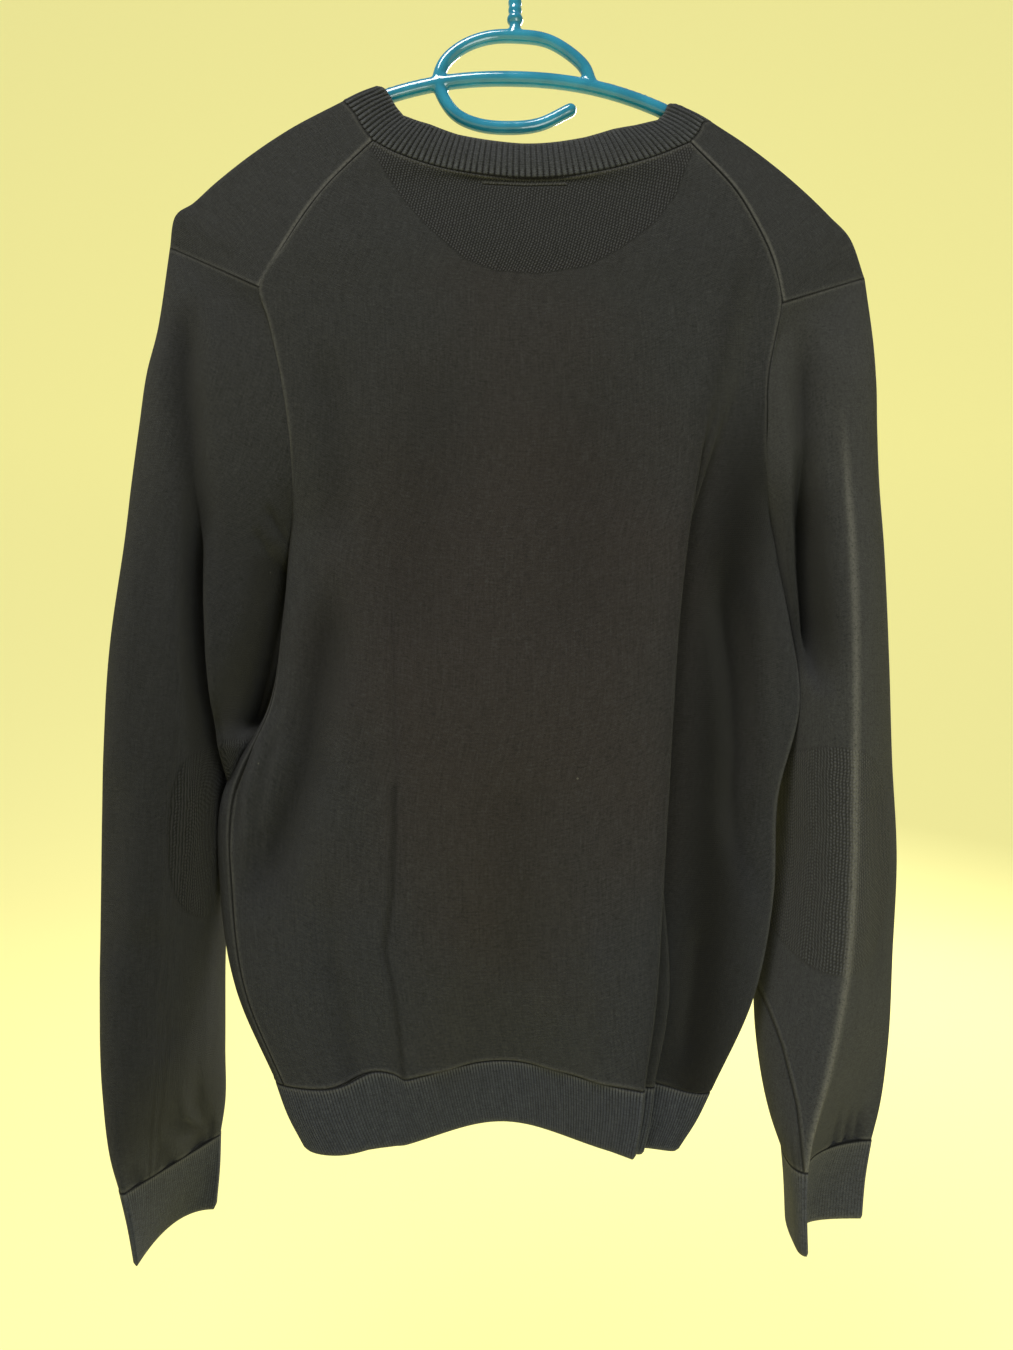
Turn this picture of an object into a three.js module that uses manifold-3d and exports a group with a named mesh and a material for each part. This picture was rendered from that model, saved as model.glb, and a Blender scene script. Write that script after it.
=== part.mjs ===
// A fine-knit wool sweater hanging on a plastic hanger, as a three.js model.
// Millimetres, +Z up. The origin is the inside top of the hanger's hook.
// The back of the sweater faces -Y, and the wearer's right side is at +X.
// "Left" and "right" below are the wearer's, so left pieces lie at -X.

import * as THREE from 'three';
import Module from 'manifold-3d';
import { mergeVertices } from 'three/addons/utils/BufferGeometryUtils.js';

const wasm = await Module();
wasm.setup();

// ---------------------------------------------------------------- driving sizes

const WALL = 2; // thickness of the single knit
const RIB_WALL = 2.6; // thickness of the ribbed bands
const SEAM_GAP = 0.3; // clear space between two pieces at a seam
const NECK_RIB_HEIGHT = 25;
const RIB_FOCUS_X = 4; // the neck rib leans towards a point over the middle of the neck:
const RIB_FOCUS_SIDE = -92; // its height for the rib on the shoulders
const RIB_FOCUS_MIDDLE = -40; // its height for the rest of the rib
const RIB_LEAN = 4; // how far the free edge leans in at the back of the neck

const BAR_RADIUS = 4.7;
const LOOP_RADIUS = 4.3;
const STEM_RADIUS = 4.6;
const NECK_RADIUS = 3.9;
const COLLAR_RADIUS = 5.4;
const HOOK_RADIUS = 3.5;
const HOOK_INSIDE = 20; // inner radius of the hook
const BAR_TOP = -119.7; // height of the bar's centreline at its middle
const LOOP_TOP = -91.6; // height of the loop's centreline under the stem
const BAR_TILT = THREE.MathUtils.degToRad(1.3); // the hanger hangs lower on the right
const CLOTH_REST = 7.6; // from the bar's centreline to the middle of the cloth on it
const RIB_REST = 9.2; // the same for the thicker neck rib
const SADDLE_ANGLE = 50; // degrees of the bar between two points of the cloth on it

// Numbers of faces along each kind of edge.
const STRAP_STEPS = 7;
const CAP_STEPS = 18;
const ARMHOLE_STEPS = 6;
const BODY_STEPS = 10;
const SLEEVE_STEPS = 12;
const BACK_LEFT_STEPS = 12;
const BACK_RIGHT_STEPS = 5;
const FRONT_STEPS = 2 * STRAP_STEPS;
const RIB_STEPS = 2;

// Roundness of the cloth's sections: 1 is an ellipse, less is squarer, 2 is a straight
// line and more is hollow. FRONT_ROUND is for the front of the sleeves.
const BODY_ROUND = 0.7;
const FRONT_ROUND = 0.85;

// ---------------------------------------------------------------- curves

const vec = (p) => new THREE.Vector3(...p);
const mix = THREE.MathUtils.lerp;

// Evenly spaced points on a smooth curve through the given ones.
function through(points, steps) {
  return new THREE.CatmullRomCurve3(points.map(vec)).getSpacedPoints(steps);
}

// One point for each row, on a smooth curve whose knots lie at even rows.
function rowsThrough(points, steps) {
  return new THREE.CatmullRomCurve3(points.map(vec), false, 'catmullrom').getPoints(steps);
}

// Evenly spaced points on a line of straight pieces.
function respaced(points, steps) {
  const path = new THREE.CurvePath();
  for (let i = 1; i < points.length; i++) {
    path.add(new THREE.LineCurve3(points[i - 1], points[i]));
  }
  return path.getSpacedPoints(steps);
}

// A quarter of a rounded section, from a side edge to a crest.
function quarter(edge, crest, round) {
  const points = [];
  for (let i = 0; i <= 24; i++) {
    const angle = (Math.PI / 2) * (i / 24);
    const across = 1 - Math.cos(angle) ** round;
    const out = Math.sin(angle) ** round;
    const x = mix(edge.x, crest.x, across);
    const y = mix(edge.y, crest.y, out);
    points.push(new THREE.Vector3(x, y, mix(edge.z, crest.z, across)));
  }
  return points;
}

// Two quarters that meet at a crest, from one side edge to the other.
function half(from, crest, to, steps, roundFrom, roundTo = roundFrom) {
  const first = respaced(quarter(from, crest, roundFrom), steps / 2);
  const second = respaced(quarter(to, crest, roundTo).reverse(), steps / 2);
  return [...first, ...second.slice(1)];
}

// A smooth patch between four edges: top and bottom run across, left and right run down.
// The rows pass from top to bottom, and each is eased to the sides only where it is near
// them: its depth within a narrow strip, its x and z over a wider one.
function patch(top, bottom, left, right, shares = evenShares(top.length)) {
  const rows = left.length - 1;
  const last = top.length - 1;
  const ease = (share) => new THREE.Vector3(share ** 2, share ** 4, share ** 2);
  return left.map((leftPoint, i) => top.map((topPoint, j) => {
    const v = i / rows;
    const point = topPoint.clone().lerp(bottom[j], v);
    const offLeft = leftPoint.clone().sub(top[0].clone().lerp(bottom[0], v));
    const offRight = right[i].clone().sub(top[last].clone().lerp(bottom[last], v));
    point.add(offLeft.multiply(ease(1 - shares[j])));
    return point.add(offRight.multiply(ease(shares[j])));
  }));
}

function evenShares(count) {
  return Array.from({ length: count }, (_, j) => j / (count - 1));
}

// ---------------------------------------------------------------- the hanger's bar

// Half of the bar: distance from the middle and drop below it.
const BAR_HALF = [[28, 1.2], [56, 5.5], [88, 15], [125, 32], [160, 54], [190, 78], [207, 94]];

const barPoints = [
  ...BAR_HALF.map(([reach, drop]) => [-reach, 0, -drop]).reverse(),
  [0, 0, 0],
  ...BAR_HALF.map(([reach, drop]) => [reach, 0, -drop]),
];

const barCurve = new THREE.CatmullRomCurve3(barPoints.map((point) => {
  const turned = vec(point).applyAxisAngle(new THREE.Vector3(0, 1, 0), BAR_TILT);
  return turned.setZ(turned.z + BAR_TOP);
}));

const barTrace = barCurve.getSpacedPoints(300);

// The line where the cloth crosses over the bar, above the bar's point at a given x.
function overBar(x) {
  const at = barTrace.findIndex((point) => point.x >= x);
  const along = barTrace[at].clone().sub(barTrace[at - 1]).normalize();
  const up = new THREE.Vector3(-along.z, 0, along.x);
  return barTrace[at].clone().addScaledVector(up, CLOTH_REST);
}

function nearestOnBar(point) {
  return barTrace.reduce((a, b) => (a.distanceToSquared(point) < b.distanceToSquared(point) ? a : b));
}

// Moves a point of the cloth out from the bar until it rests on it.
function restOnBar(point, rest) {
  const nearest = nearestOnBar(point);
  const away = point.clone().sub(nearest);
  if (away.length() < rest) {
    point.copy(nearest).addScaledVector(away.normalize(), rest);
  }
}

// Wraps the middle three points of a row that passes over the shoulder round the bar.
function saddle(row) {
  const middle = (row.length - 1) / 2;
  const nearest = nearestOnBar(row[middle]);
  const up = row[middle].clone().sub(nearest);
  const rest = Math.max(up.length(), CLOTH_REST);
  up.normalize();
  for (const step of [-1, 0, 1]) {
    const turn = THREE.MathUtils.degToRad(SADDLE_ANGLE * step);
    row[middle + step].copy(nearest).addScaledVector(up, rest * Math.cos(turn));
    row[middle + step].y += CLOTH_REST * Math.sin(turn);
  }
  for (const point of row) {
    restOnBar(point, CLOTH_REST);
  }
}

// ---------------------------------------------------------------- seams

// Each seam is a list of hand-measured points [x, y, z] on the middle of the cloth.
// diagonal: from the back neck to the point where back, shoulder and sleeve meet.
// capBack and capFront: from there over the shoulder tip to the front of the armhole.
// armholeBack and armholeFront: down to the underarm.
// ridge: the x of the shoulder points over the bar, with the corner at the hanger's tip.
const LEFT = {
  neckEnd: [-95, -13, -170],
  neckSide: [-104, -9, -150],
  highPoint: -112,
  neckFront: [[-103, 11, -160], [-76, 15, -197], [-36, 16, -217]],
  diagonal: [[-95, -13, -170], [-119, -18, -197], [-133, -22, -217], [-147, -25, -241], [-162, -27, -268]],
  capBack: [[-162, -27, -268], [-177, -22, -259], [-191, -17, -251], [-210, -10, -238], [-227, 0, -233]],
  capFront: [[-227, 0, -233], [-212, 9, -240], [-190, 13, -252], [-165, 15, -268]],
  armholeBack: [[-162, -27, -268], [-156, -29, -289], [-149, -31, -318], [-143, -32, -353],
    [-141, -26, -391], [-146, -6, -432]],
  armholeFront: [[-165, 15, -268], [-152, 17, -318], [-143, 17, -365], [-141, 12, -400], [-146, -6, -432]],
  ridge: [-145, -170, -194, -209],
  corner: [-223, 0, -211],
};

const RIGHT = {
  neckEnd: [117, -13, -170],
  neckSide: [124, -9, -158],
  highPoint: 127,
  neckFront: [[115, 11, -168], [84, 15, -200], [42, 16, -217]],
  diagonal: [[117, -13, -170], [139, -20, -200], [151, -23, -221], [163, -26, -249], [169, -28, -278]],
  capBack: [[169, -28, -278], [182, -22, -269], [199, -15, -261], [217, -8, -256], [230, 0, -253]],
  capFront: [[230, 0, -253], [214, 9, -258], [192, 13, -268], [170, 15, -280]],
  armholeBack: [[169, -28, -278], [165, -29, -299], [160, -31, -325], [159, -32, -352], [160, -26, -387],
    [168, -6, -432]],
  armholeFront: [[170, 15, -280], [163, 17, -320], [158, 17, -365], [160, 12, -400], [168, -6, -432]],
  ridge: [147, 170, 190, 203],
  corner: [220, 0, -224],
};

const BACK_NECK = [[-95, -13, -170], [-76, -18, -180], [-42, -21, -191], [13, -22, -196], [54, -21, -191],
  [90, -17, -180], [117, -13, -170]];
const FRONT_NECK = [3, 16, -222]; // lowest point of the front neckline

// ---------------------------------------------------------------- body sections

// The chest, between the neck and the underarm, where the sections are still open at the sides.
const CHEST_STEP = 4; // steps down the armhole
const CHEST = { crest: [113, -38], front: 18, fold: 1, drop: 3 };
const LEFT_CHEST = { near: [-206, -34], outer: [-247, -10], far: [-192, 18],
  valley: 5, valleyX: -205, roundIn: 0.9, roundOut: 0.9 };
const RIGHT_CHEST = { near: [207, -33], outer: [235, -8], far: [200, 18],
  valley: 5, valleyX: 195, roundIn: 0.9, roundOut: 0.9 };

// Levels of the body, from the underarm to the hem seam. left and right are the side
// edges and crest is the pleat's edge on the back: [x, y]. front is the y of the front's middle.
// fold is how far the pleat laps back under itself, and drop is how far it steps in.
// trough is the depth of the hollow between the back's two crests.
const BODY = [
  { z: -432, left: [-146, -6], crest: [105, -45], right: [168, -6], front: 17, fold: 4, drop: 6 },
  { z: -480, left: [-157, -14], crest: [99, -50], right: [174, -22], front: 19, fold: 8, drop: 9 },
  { z: -530, left: [-172, -18], crest: [95, -54], right: [178, -32], front: 20, fold: 11, drop: 11 },
  { z: -590, left: [-185, -24], crest: [91, -58], right: [163, -38], front: 20, fold: 12, drop: 12,
    trough: 4 },
  { z: -650, left: [-186, -24], crest: [87, -62], right: [160, -38], front: 20, fold: 12, drop: 12,
    trough: 12 },
  { z: -710, left: [-175, -28], crest: [83, -65], right: [147, -38], front: 19, fold: 12, drop: 13,
    trough: 26 },
  { z: -765, left: [-149, -34], crest: [76, -67], right: [121, -36], front: 17, fold: 12, drop: 14,
    trough: 44 },
];
const HEM = { z: -806, left: [-130, -36], crest: [70, -67], right: [100, -36], front: 15, fold: 12,
  drop: 14, trough: 46 };
const TROUGH_X = -8;
const TROUGH_REACH = 62;
const TROUGH_RISE = 0.13; // the cloth rides up by this part of the hollow's depth
const FRONT_FOLDS = [-72, 60]; // x of two soft hollows at the bottom of the front
const FRONT_FOLD_DEPTH = 0.35; // of the back hollow's depth
const FRONT_FOLD_REACH = 30;

// Levels of each sleeve, from the underarm to the cuff seam. inner is the edge beside the
// body, near is the crest on the back, outer is the outside edge, far is the crest on the front.
// valley is the depth of the long crease down the back of the sleeve.
const LEFT_SLEEVE = [
  { z: -432, inner: [-146, -6], near: [-226, -42], outer: [-248, -16],
    far: [-196, 17], valley: 12, valleyX: -207, roundIn: 0.85, roundOut: 0.85 },
  { z: -500, inner: [-169, 2], near: [-227, -60], outer: [-252, -30],
    far: [-204, 20], valley: 18, valleyX: -206, roundIn: 0.85, roundOut: 0.85 },
  { z: -565, inner: [-190, 5], near: [-228, -72], outer: [-251, -40],
    far: [-212, 20], valley: 14, valleyX: -203, roundIn: 0.85, roundOut: 0.85 },
  { z: -630, inner: [-193, -6], near: [-228, -78], outer: [-250, -46],
    far: [-212, 20], valley: 4, valleyX: -199, roundIn: 0.85, roundOut: 0.85 },
  { z: -695, inner: [-190, -8], near: [-230, -80], outer: [-249, -50],
    far: [-208, 20], valley: 0, valleyX: -199, roundIn: 0.9, roundOut: 0.85 },
  { z: -760, inner: [-190, -4], near: [-232, -80], outer: [-246, -54],
    far: [-205, 18], valley: 0, valleyX: -199, roundIn: 1.2, roundOut: 0.85 },
  { z: -819, inner: [-197, 4], near: [-231, -72], outer: [-237, -54],
    far: [-205, 14], valley: 0, valleyX: -199, roundIn: 2, roundOut: 1 },
];
const LEFT_CUFF = { z: -866, inner: [-199, -1], near: [-225, -65], outer: [-229, -50],
  far: [-206, 12], valley: 0, valleyX: -199, roundIn: 3.6, roundOut: 1 };

const RIGHT_SLEEVE = [
  { z: -432, inner: [168, -6], near: [209, -38], outer: [238, -12],
    far: [205, 17], valley: 10, valleyX: 193, roundIn: 0.9, roundOut: 1 },
  { z: -500, inner: [180, 4], near: [207, -48], outer: [240, -16],
    far: [208, 20], valley: 12, valleyX: 193, roundIn: 0.9, roundOut: 1.2 },
  { z: -565, inner: [171, 4], near: [205, -55], outer: [241, -19],
    far: [206, 20], valley: 8, valleyX: 190, roundIn: 1.1, roundOut: 1.4 },
  { z: -630, inner: [168, 2], near: [203, -60], outer: [243, -22],
    far: [206, 21], valley: 2, valleyX: 186, roundIn: 1.2, roundOut: 1.6 },
  { z: -690, inner: [158, -8], near: [198, -64], outer: [240, -23],
    far: [204, 20], valley: 0, valleyX: 180, roundIn: 1.2, roundOut: 1.7 },
  { z: -750, inner: [154, -26], near: [186, -68], outer: [236, -25],
    far: [204, 15], valley: 0, valleyX: 175, roundIn: 1.1, roundOut: 1.9 },
  { z: -808, inner: [162, -50], near: [171, -70], outer: [225, -27],
    far: [214, 6], valley: 0, valleyX: 172, roundIn: 1, roundOut: 2.4 },
];
const RIGHT_CUFF = { z: -857, inner: [162, -58], near: [168, -71], outer: [218, -27],
  far: [207, 6], valley: 0, valleyX: 172, roundIn: 1, roundOut: 3 };
const VALLEY_REACH = 14;

// ---------------------------------------------------------------- sections

// One named value of every level, as a smooth run of rows.
function runOf(levels, name, steps) {
  return rowsThrough(levels.map((level) => [...level[name], level.z]), steps);
}

function numbersOf(levels, name, steps) {
  return rowsThrough(levels.map((level) => [level[name] ?? 0, 0, level.z]), steps).map((point) => point.x);
}

const hollow = (distance, reach) => Math.exp(-((distance / reach) ** 2));

// The back of one body section, from the left edge over the pleat to the right edge.
function backRow(left, crest, right, fold, drop, trough) {
  const under = crest.clone().add(new THREE.Vector3(1, drop, 0));
  const lead = respaced(quarter(left, crest, BODY_ROUND), BACK_LEFT_STEPS);
  const tail = respaced(quarter(right, under, BODY_ROUND).reverse(), BACK_RIGHT_STEPS);
  for (const point of lead) {
    const edgeClear = Math.min(1, (point.x - left.x) / 40);
    point.y += trough * edgeClear * hollow(point.x - TROUGH_X, TROUGH_REACH);
  }
  const lip = crest.clone().add(new THREE.Vector3(fold * 0.25, drop * 0.25, 0));
  const tuck = crest.clone().add(new THREE.Vector3(-fold * 0.75, drop * 0.62, 0));
  const turn = crest.clone().add(new THREE.Vector3(-fold * 0.7, drop, 0));
  const row = [...lead, lip, tuck, turn, ...tail.slice(1)];
  for (const point of row) {
    const edgeClear = Math.min(1, (point.x - left.x) / 40, (right.x - point.x) / 40);
    point.z += trough * TROUGH_RISE * edgeClear * hollow(point.x - TROUGH_X, TROUGH_REACH);
  }
  return row;
}

// The front of one body section, from the right edge to the left edge.
function frontRow(left, frontY, right, trough) {
  const middle = new THREE.Vector3(0, frontY, (left.z + right.z) / 2);
  const row = half(right, middle, left, FRONT_STEPS, BODY_ROUND);
  for (const point of row) {
    const edgeClear = Math.min(1, (point.x - left.x) / 30, (right.x - point.x) / 30);
    for (const x of FRONT_FOLDS) {
      point.y -= trough * FRONT_FOLD_DEPTH * edgeClear * hollow(point.x - x, FRONT_FOLD_REACH);
    }
  }
  return row;
}

// The body's rows from one list of levels, as separate back and front grids.
function bodyRows(levels, steps) {
  const left = runOf(levels, 'left', steps);
  const crest = runOf(levels, 'crest', steps);
  const right = runOf(levels, 'right', steps);
  const front = numbersOf(levels, 'front', steps);
  const fold = numbersOf(levels, 'fold', steps);
  const drop = numbersOf(levels, 'drop', steps);
  const trough = numbersOf(levels, 'trough', steps);
  return {
    back: left.map((point, i) => backRow(point, crest[i], right[i], fold[i], drop[i], trough[i])),
    front: left.map((point, i) => frontRow(point, front[i], right[i], trough[i])),
  };
}

// One section of a sleeve: from the inner edge over the back, round the outside, and
// back along the front to the inner edge.
function sleeveRow(start, near, outer, far, end, shape) {
  const back = half(start, near, outer, CAP_STEPS / 2 + 1, shape.roundIn, shape.roundOut);
  const front = half(outer, far, end, CAP_STEPS / 2 - 1, FRONT_ROUND);
  for (const point of back) {
    const edgeClear = Math.min(1, Math.abs(point.x - start.x) / 12);
    point.y += shape.valley * edgeClear * hollow(point.x - shape.valleyX, VALLEY_REACH);
  }
  return [...back, ...front.slice(1)];
}

function sleeveRows(levels, steps) {
  const inner = runOf(levels, 'inner', steps);
  const near = runOf(levels, 'near', steps);
  const outer = runOf(levels, 'outer', steps);
  const far = runOf(levels, 'far', steps);
  const names = ['valley', 'valleyX', 'roundIn', 'roundOut'];
  const runs = names.map((name) => numbersOf(levels, name, steps));
  return inner.map((point, i) => {
    const shape = Object.fromEntries(names.map((name, k) => [name, runs[k][i]]));
    return sleeveRow(point, near[i], outer[i], far[i], point, shape);
  });
}

// ---------------------------------------------------------------- cloth walls

const pointKey = (p) => [p.x, p.y, p.z].map((c) => Math.round(c * 1000)).join();

// Every piece, as grids of points on the middle of the cloth. A grid's rows run down and its
// columns run left to right when seen from outside; flip says that they run the other way.
const pieces = {};

function addGrid(piece, grid, flip = false) {
  pieces[piece] ??= [];
  pieces[piece].push({ grid, flip });
}

function facesOf(piece) {
  const faces = [];
  for (const { grid, flip } of pieces[piece]) {
    for (let i = 1; i < grid.length; i++) {
      for (let j = 1; j < grid[i].length; j++) {
        const face = [grid[i - 1][j - 1], grid[i][j - 1], grid[i][j], grid[i - 1][j]];
        faces.push(flip ? face.reverse() : face);
      }
    }
  }
  return faces;
}

function faceNormal([a, b, c, d]) {
  return c.clone().sub(a).cross(d.clone().sub(b));
}

// The direction out of the cloth at each point, shared by the pieces that meet there.
function sharedNormals() {
  const normals = new Map();
  for (const piece of Object.keys(pieces)) {
    for (const face of facesOf(piece)) {
      const normal = faceNormal(face).normalize();
      for (const point of face) {
        const sum = normals.get(pointKey(point)) ?? new THREE.Vector3();
        normals.set(pointKey(point), sum.add(normal));
      }
    }
  }
  // At the underarm the outside of the cloth lies straight below.
  for (const seams of [LEFT, RIGHT]) {
    normals.set(pointKey(vec(seams.armholeBack.at(-1))), new THREE.Vector3(0, 0, -1));
  }
  return normals;
}

// One closed wall of even thickness, pulled back from its seams by half of the gap.
function wall(name, thickness, color, normals) {
  const points = [];
  const indexOf = new Map();
  const faces = facesOf(name).map((face) => face.map((point) => {
    const key = pointKey(point);
    if (!indexOf.has(key)) {
      indexOf.set(key, points.length);
      points.push(point.clone());
    }
    return indexOf.get(key);
  }));
  const edges = new Set(faces.flatMap((face) => face.map((a, k) => `${a},${face[(k + 1) % 4]}`)));
  const outward = points.map((point) => normals.get(pointKey(point)).clone().normalize());
  const rim = [];
  const pull = points.map(() => new THREE.Vector3());
  for (const face of faces) {
    face.forEach((a, k) => {
      const b = face[(k + 1) % 4];
      if (!edges.has(`${b},${a}`)) {
        const along = points[b].clone().sub(points[a]);
        const inward = outward[a].clone().add(outward[b]).cross(along).normalize();
        pull[a].add(inward);
        pull[b].add(inward);
        rim.push([a, b]);
      }
    });
  }
  points.forEach((point, i) => point.addScaledVector(pull[i].normalize(), SEAM_GAP * 0.6));

  const outside = points.map((point, i) => point.clone().addScaledVector(outward[i], thickness / 2));
  const inside = points.map((point, i) => point.clone().addScaledVector(outward[i], -thickness / 2));
  const count = points.length;
  const index = [];
  for (const [a, b, c, d] of faces) {
    const halves = points[a].distanceTo(points[c]) < points[b].distanceTo(points[d])
      ? [[a, b, c], [a, c, d]] : [[a, b, d], [b, c, d]];
    for (const [p, q, r] of halves) {
      index.push(p, q, r, count + r, count + q, count + p);
    }
  }
  // Both pieces at a seam split its twisted faces along the same diagonal.
  const seamKeys = [...indexOf.keys()];
  for (const [a, b] of rim) {
    if (seamKeys[a] < seamKeys[b]) {
      index.push(b, a, count + a, b, count + a, count + b);
    } else {
      index.push(b, a, count + b, a, count + a, count + b);
    }
  }
  const geometry = new THREE.BufferGeometry();
  const positions = [...outside, ...inside].flatMap((point) => point.toArray());
  geometry.setAttribute('position', new THREE.Float32BufferAttribute(positions, 3));
  geometry.setIndex(index);
  geometry.computeVertexNormals();
  const material = new THREE.MeshStandardMaterial({ color, roughness: 0.9, metalness: 0 });
  const mesh = new THREE.Mesh(geometry, material);
  mesh.name = name;
  return mesh;
}

// ---------------------------------------------------------------- the sweater

function splitAtChest(armhole) {
  return { above: armhole.slice(0, CHEST_STEP + 1), below: armhole.slice(CHEST_STEP) };
}

const body = bodyRows(BODY, BODY_STEPS);
const hem = bodyRows([BODY[BODY.length - 1], HEM], RIB_STEPS);

const sides = [
  { seams: LEFT, chest: LEFT_CHEST, levels: LEFT_SLEEVE, cuff: LEFT_CUFF, label: 'left' },
  { seams: RIGHT, chest: RIGHT_CHEST, levels: RIGHT_SLEEVE, cuff: RIGHT_CUFF, label: 'right' },
];

for (const side of sides) {
  const { seams, chest, levels, cuff, label } = side;
  const isLeft = label === 'left';

  // Seam lines, each sampled once and used by every piece that meets there.
  side.diagonal = through(seams.diagonal, STRAP_STEPS);
  side.armholeBack = through(seams.armholeBack, ARMHOLE_STEPS);
  side.armholeFront = through(seams.armholeFront, ARMHOLE_STEPS);
  const capBack = through(seams.capBack, CAP_STEPS / 2);
  const capFront = through(seams.capFront, CAP_STEPS / 2);
  const cap = [...capBack, ...capFront.slice(1)];
  const highPoint = overBar(seams.highPoint);
  const neckBack = through([seams.neckEnd, seams.neckSide, highPoint.toArray()], CAP_STEPS / 2);
  const neckFront = through([highPoint.toArray(), ...seams.neckFront, FRONT_NECK], CAP_STEPS / 2);
  side.neck = [...neckBack, ...neckFront.slice(1)];
  saddle(side.neck);
  const fromArmhole = side.armholeFront[0];
  side.frontTop = respaced([fromArmhole, vec(FRONT_NECK)], STRAP_STEPS);

  // The strap over the shoulder: rows from the cap seam to the neck, lifted to the bar's line.
  const strap = patch(cap, side.neck, side.diagonal.slice().reverse(), side.frontTop);
  const ridge = through([cap[CAP_STEPS / 2].toArray(), seams.corner,
    ...seams.ridge.map((x) => overBar(x).toArray()).reverse(), highPoint.toArray()], STRAP_STEPS);
  strap.forEach((row, i) => {
    const lift = ridge[i].clone().sub(row[CAP_STEPS / 2]);
    row.forEach((point, j) => {
      const share = Math.sin((Math.PI * j) / CAP_STEPS) ** 2;
      point.addScaledVector(lift, share);
    });
    if (i > 0 && i < STRAP_STEPS) {
      saddle(row);
    }
  });
  addGrid('front_panel', strap, !isLeft);

  // The sleeve: a patch from the cap seam to the underarm, then closed rows to the cuff.
  const rows = sleeveRows(levels, SLEEVE_STEPS);
  const chestBack = side.armholeBack[CHEST_STEP];
  const chestFront = side.armholeFront[CHEST_STEP];
  const atChest = ([x, y]) => new THREE.Vector3(x, y, chestBack.z);
  const chestRow = sleeveRow(chestBack, atChest(chest.near), atChest(chest.outer), atChest(chest.far),
    chestFront, chest);
  const { above: backAbove, below: backBelow } = splitAtChest(side.armholeBack);
  const { above: frontAbove, below: frontBelow } = splitAtChest(side.armholeFront);
  addGrid(`sleeve_${label}`, patch(cap, chestRow, backAbove, frontAbove), isLeft);
  addGrid(`sleeve_${label}`, patch(chestRow, rows[0], backBelow, frontBelow), isLeft);
  addGrid(`sleeve_${label}`, rows, isLeft);
  const cuffRows = sleeveRows([levels[levels.length - 1], cuff], RIB_STEPS);
  addGrid(`cuff_${label}`, cuffRows, isLeft);
}

const [leftSide, rightSide] = sides;
const leftBack = splitAtChest(leftSide.armholeBack);
const rightBack = splitAtChest(rightSide.armholeBack);
const leftFront = splitAtChest(leftSide.armholeFront);
const rightFront = splitAtChest(rightSide.armholeFront);
const chestZ = (leftBack.below[0].z + rightBack.below[0].z) / 2;
const chestCrest = new THREE.Vector3(...CHEST.crest, chestZ);
const chestBackRow = backRow(leftBack.below[0], chestCrest, rightBack.below[0], CHEST.fold, CHEST.drop, 0);
const chestFrontRow = frontRow(leftFront.below[0], CHEST.front, rightFront.below[0], 0);

// The back panel: from the neck to the underarm between its seams, then down to the hem.
const underarmRow = body.back[0];
const backShares = [];
for (const point of underarmRow) {
  const across = (point.x - underarmRow[0].x) / (underarmRow[underarmRow.length - 1].x - underarmRow[0].x);
  backShares.push(Math.max(across, (backShares[backShares.length - 1] ?? -1) + 0.01));
}
backShares[backShares.length - 1] = 1;
const neckCurve = new THREE.CatmullRomCurve3(BACK_NECK.map(vec));
const backNeck = backShares.map((share) => neckCurve.getPointAt(share));
const leftDown = [...leftSide.diagonal, ...leftBack.above.slice(1)];
const rightDown = [...rightSide.diagonal, ...rightBack.above.slice(1)];
addGrid('back_panel', patch(backNeck, chestBackRow, leftDown, rightDown, backShares));
addGrid('back_panel', patch(chestBackRow, underarmRow, leftBack.below, rightBack.below, backShares));
addGrid('back_panel', body.back);

// The front panel below its straps.
const frontTop = [...rightSide.frontTop, ...leftSide.frontTop.slice(0, -1).reverse()];
addGrid('front_panel', patch(frontTop, chestFrontRow, rightFront.above, leftFront.above));
addGrid('front_panel', patch(chestFrontRow, body.front[0], rightFront.below, leftFront.below));
addGrid('front_panel', body.front);

addGrid('hem_rib', hem.back);
addGrid('hem_rib', hem.front);

// The neck rib stands on the whole neck seam and leans towards the middle of the neck.
const neckSeam = [...backNeck, ...rightSide.neck.slice(1), ...leftSide.neck.slice(0, -1).reverse()];
const neckRib = [];
for (let i = 0; i <= RIB_STEPS; i++) {
  const rise = 1 - i / RIB_STEPS;
  neckRib.push(neckSeam.map((point) => {
    const focusZ = mix(RIB_FOCUS_SIDE, RIB_FOCUS_MIDDLE, Math.min(1, Math.abs(point.y) / 12));
    const lean = new THREE.Vector3(RIB_FOCUS_X - point.x, 0, focusZ - point.z).normalize();
    const raised = point.clone().addScaledVector(lean, NECK_RIB_HEIGHT * rise);
    raised.y -= THREE.MathUtils.clamp(point.y / 12, -1, 0) * RIB_LEAN * rise;
    if (i < RIB_STEPS) {
      restOnBar(raised, RIB_REST);
    }
    return raised;
  }));
}
addGrid('neck_rib', neckRib);

const normals = sharedNormals();
const CLOTH = 0x3a3a36;
const RIB = 0x40413c;

// ---------------------------------------------------------------- the hanger

function solid(geometry) {
  const bare = geometry.clone();
  bare.deleteAttribute('normal');
  bare.deleteAttribute('uv');
  const merged = mergeVertices(bare, 1e-4);
  return new wasm.Manifold(new wasm.Mesh({
    numProp: 3,
    vertProperties: new Float32Array(merged.attributes.position.array),
    triVerts: new Uint32Array(merged.index.array),
  }));
}

function rod(curve, radius, steps) {
  const section = new THREE.Shape();
  section.absarc(0, 0, radius, 0, 2 * Math.PI);
  return solid(new THREE.ExtrudeGeometry(section, {
    steps, curveSegments: 5, bevelEnabled: false, extrudePath: curve,
  }));
}

function ball(at, radius) {
  return solid(new THREE.SphereGeometry(radius, 8, 6).translate(at.x, at.y, at.z));
}

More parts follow.
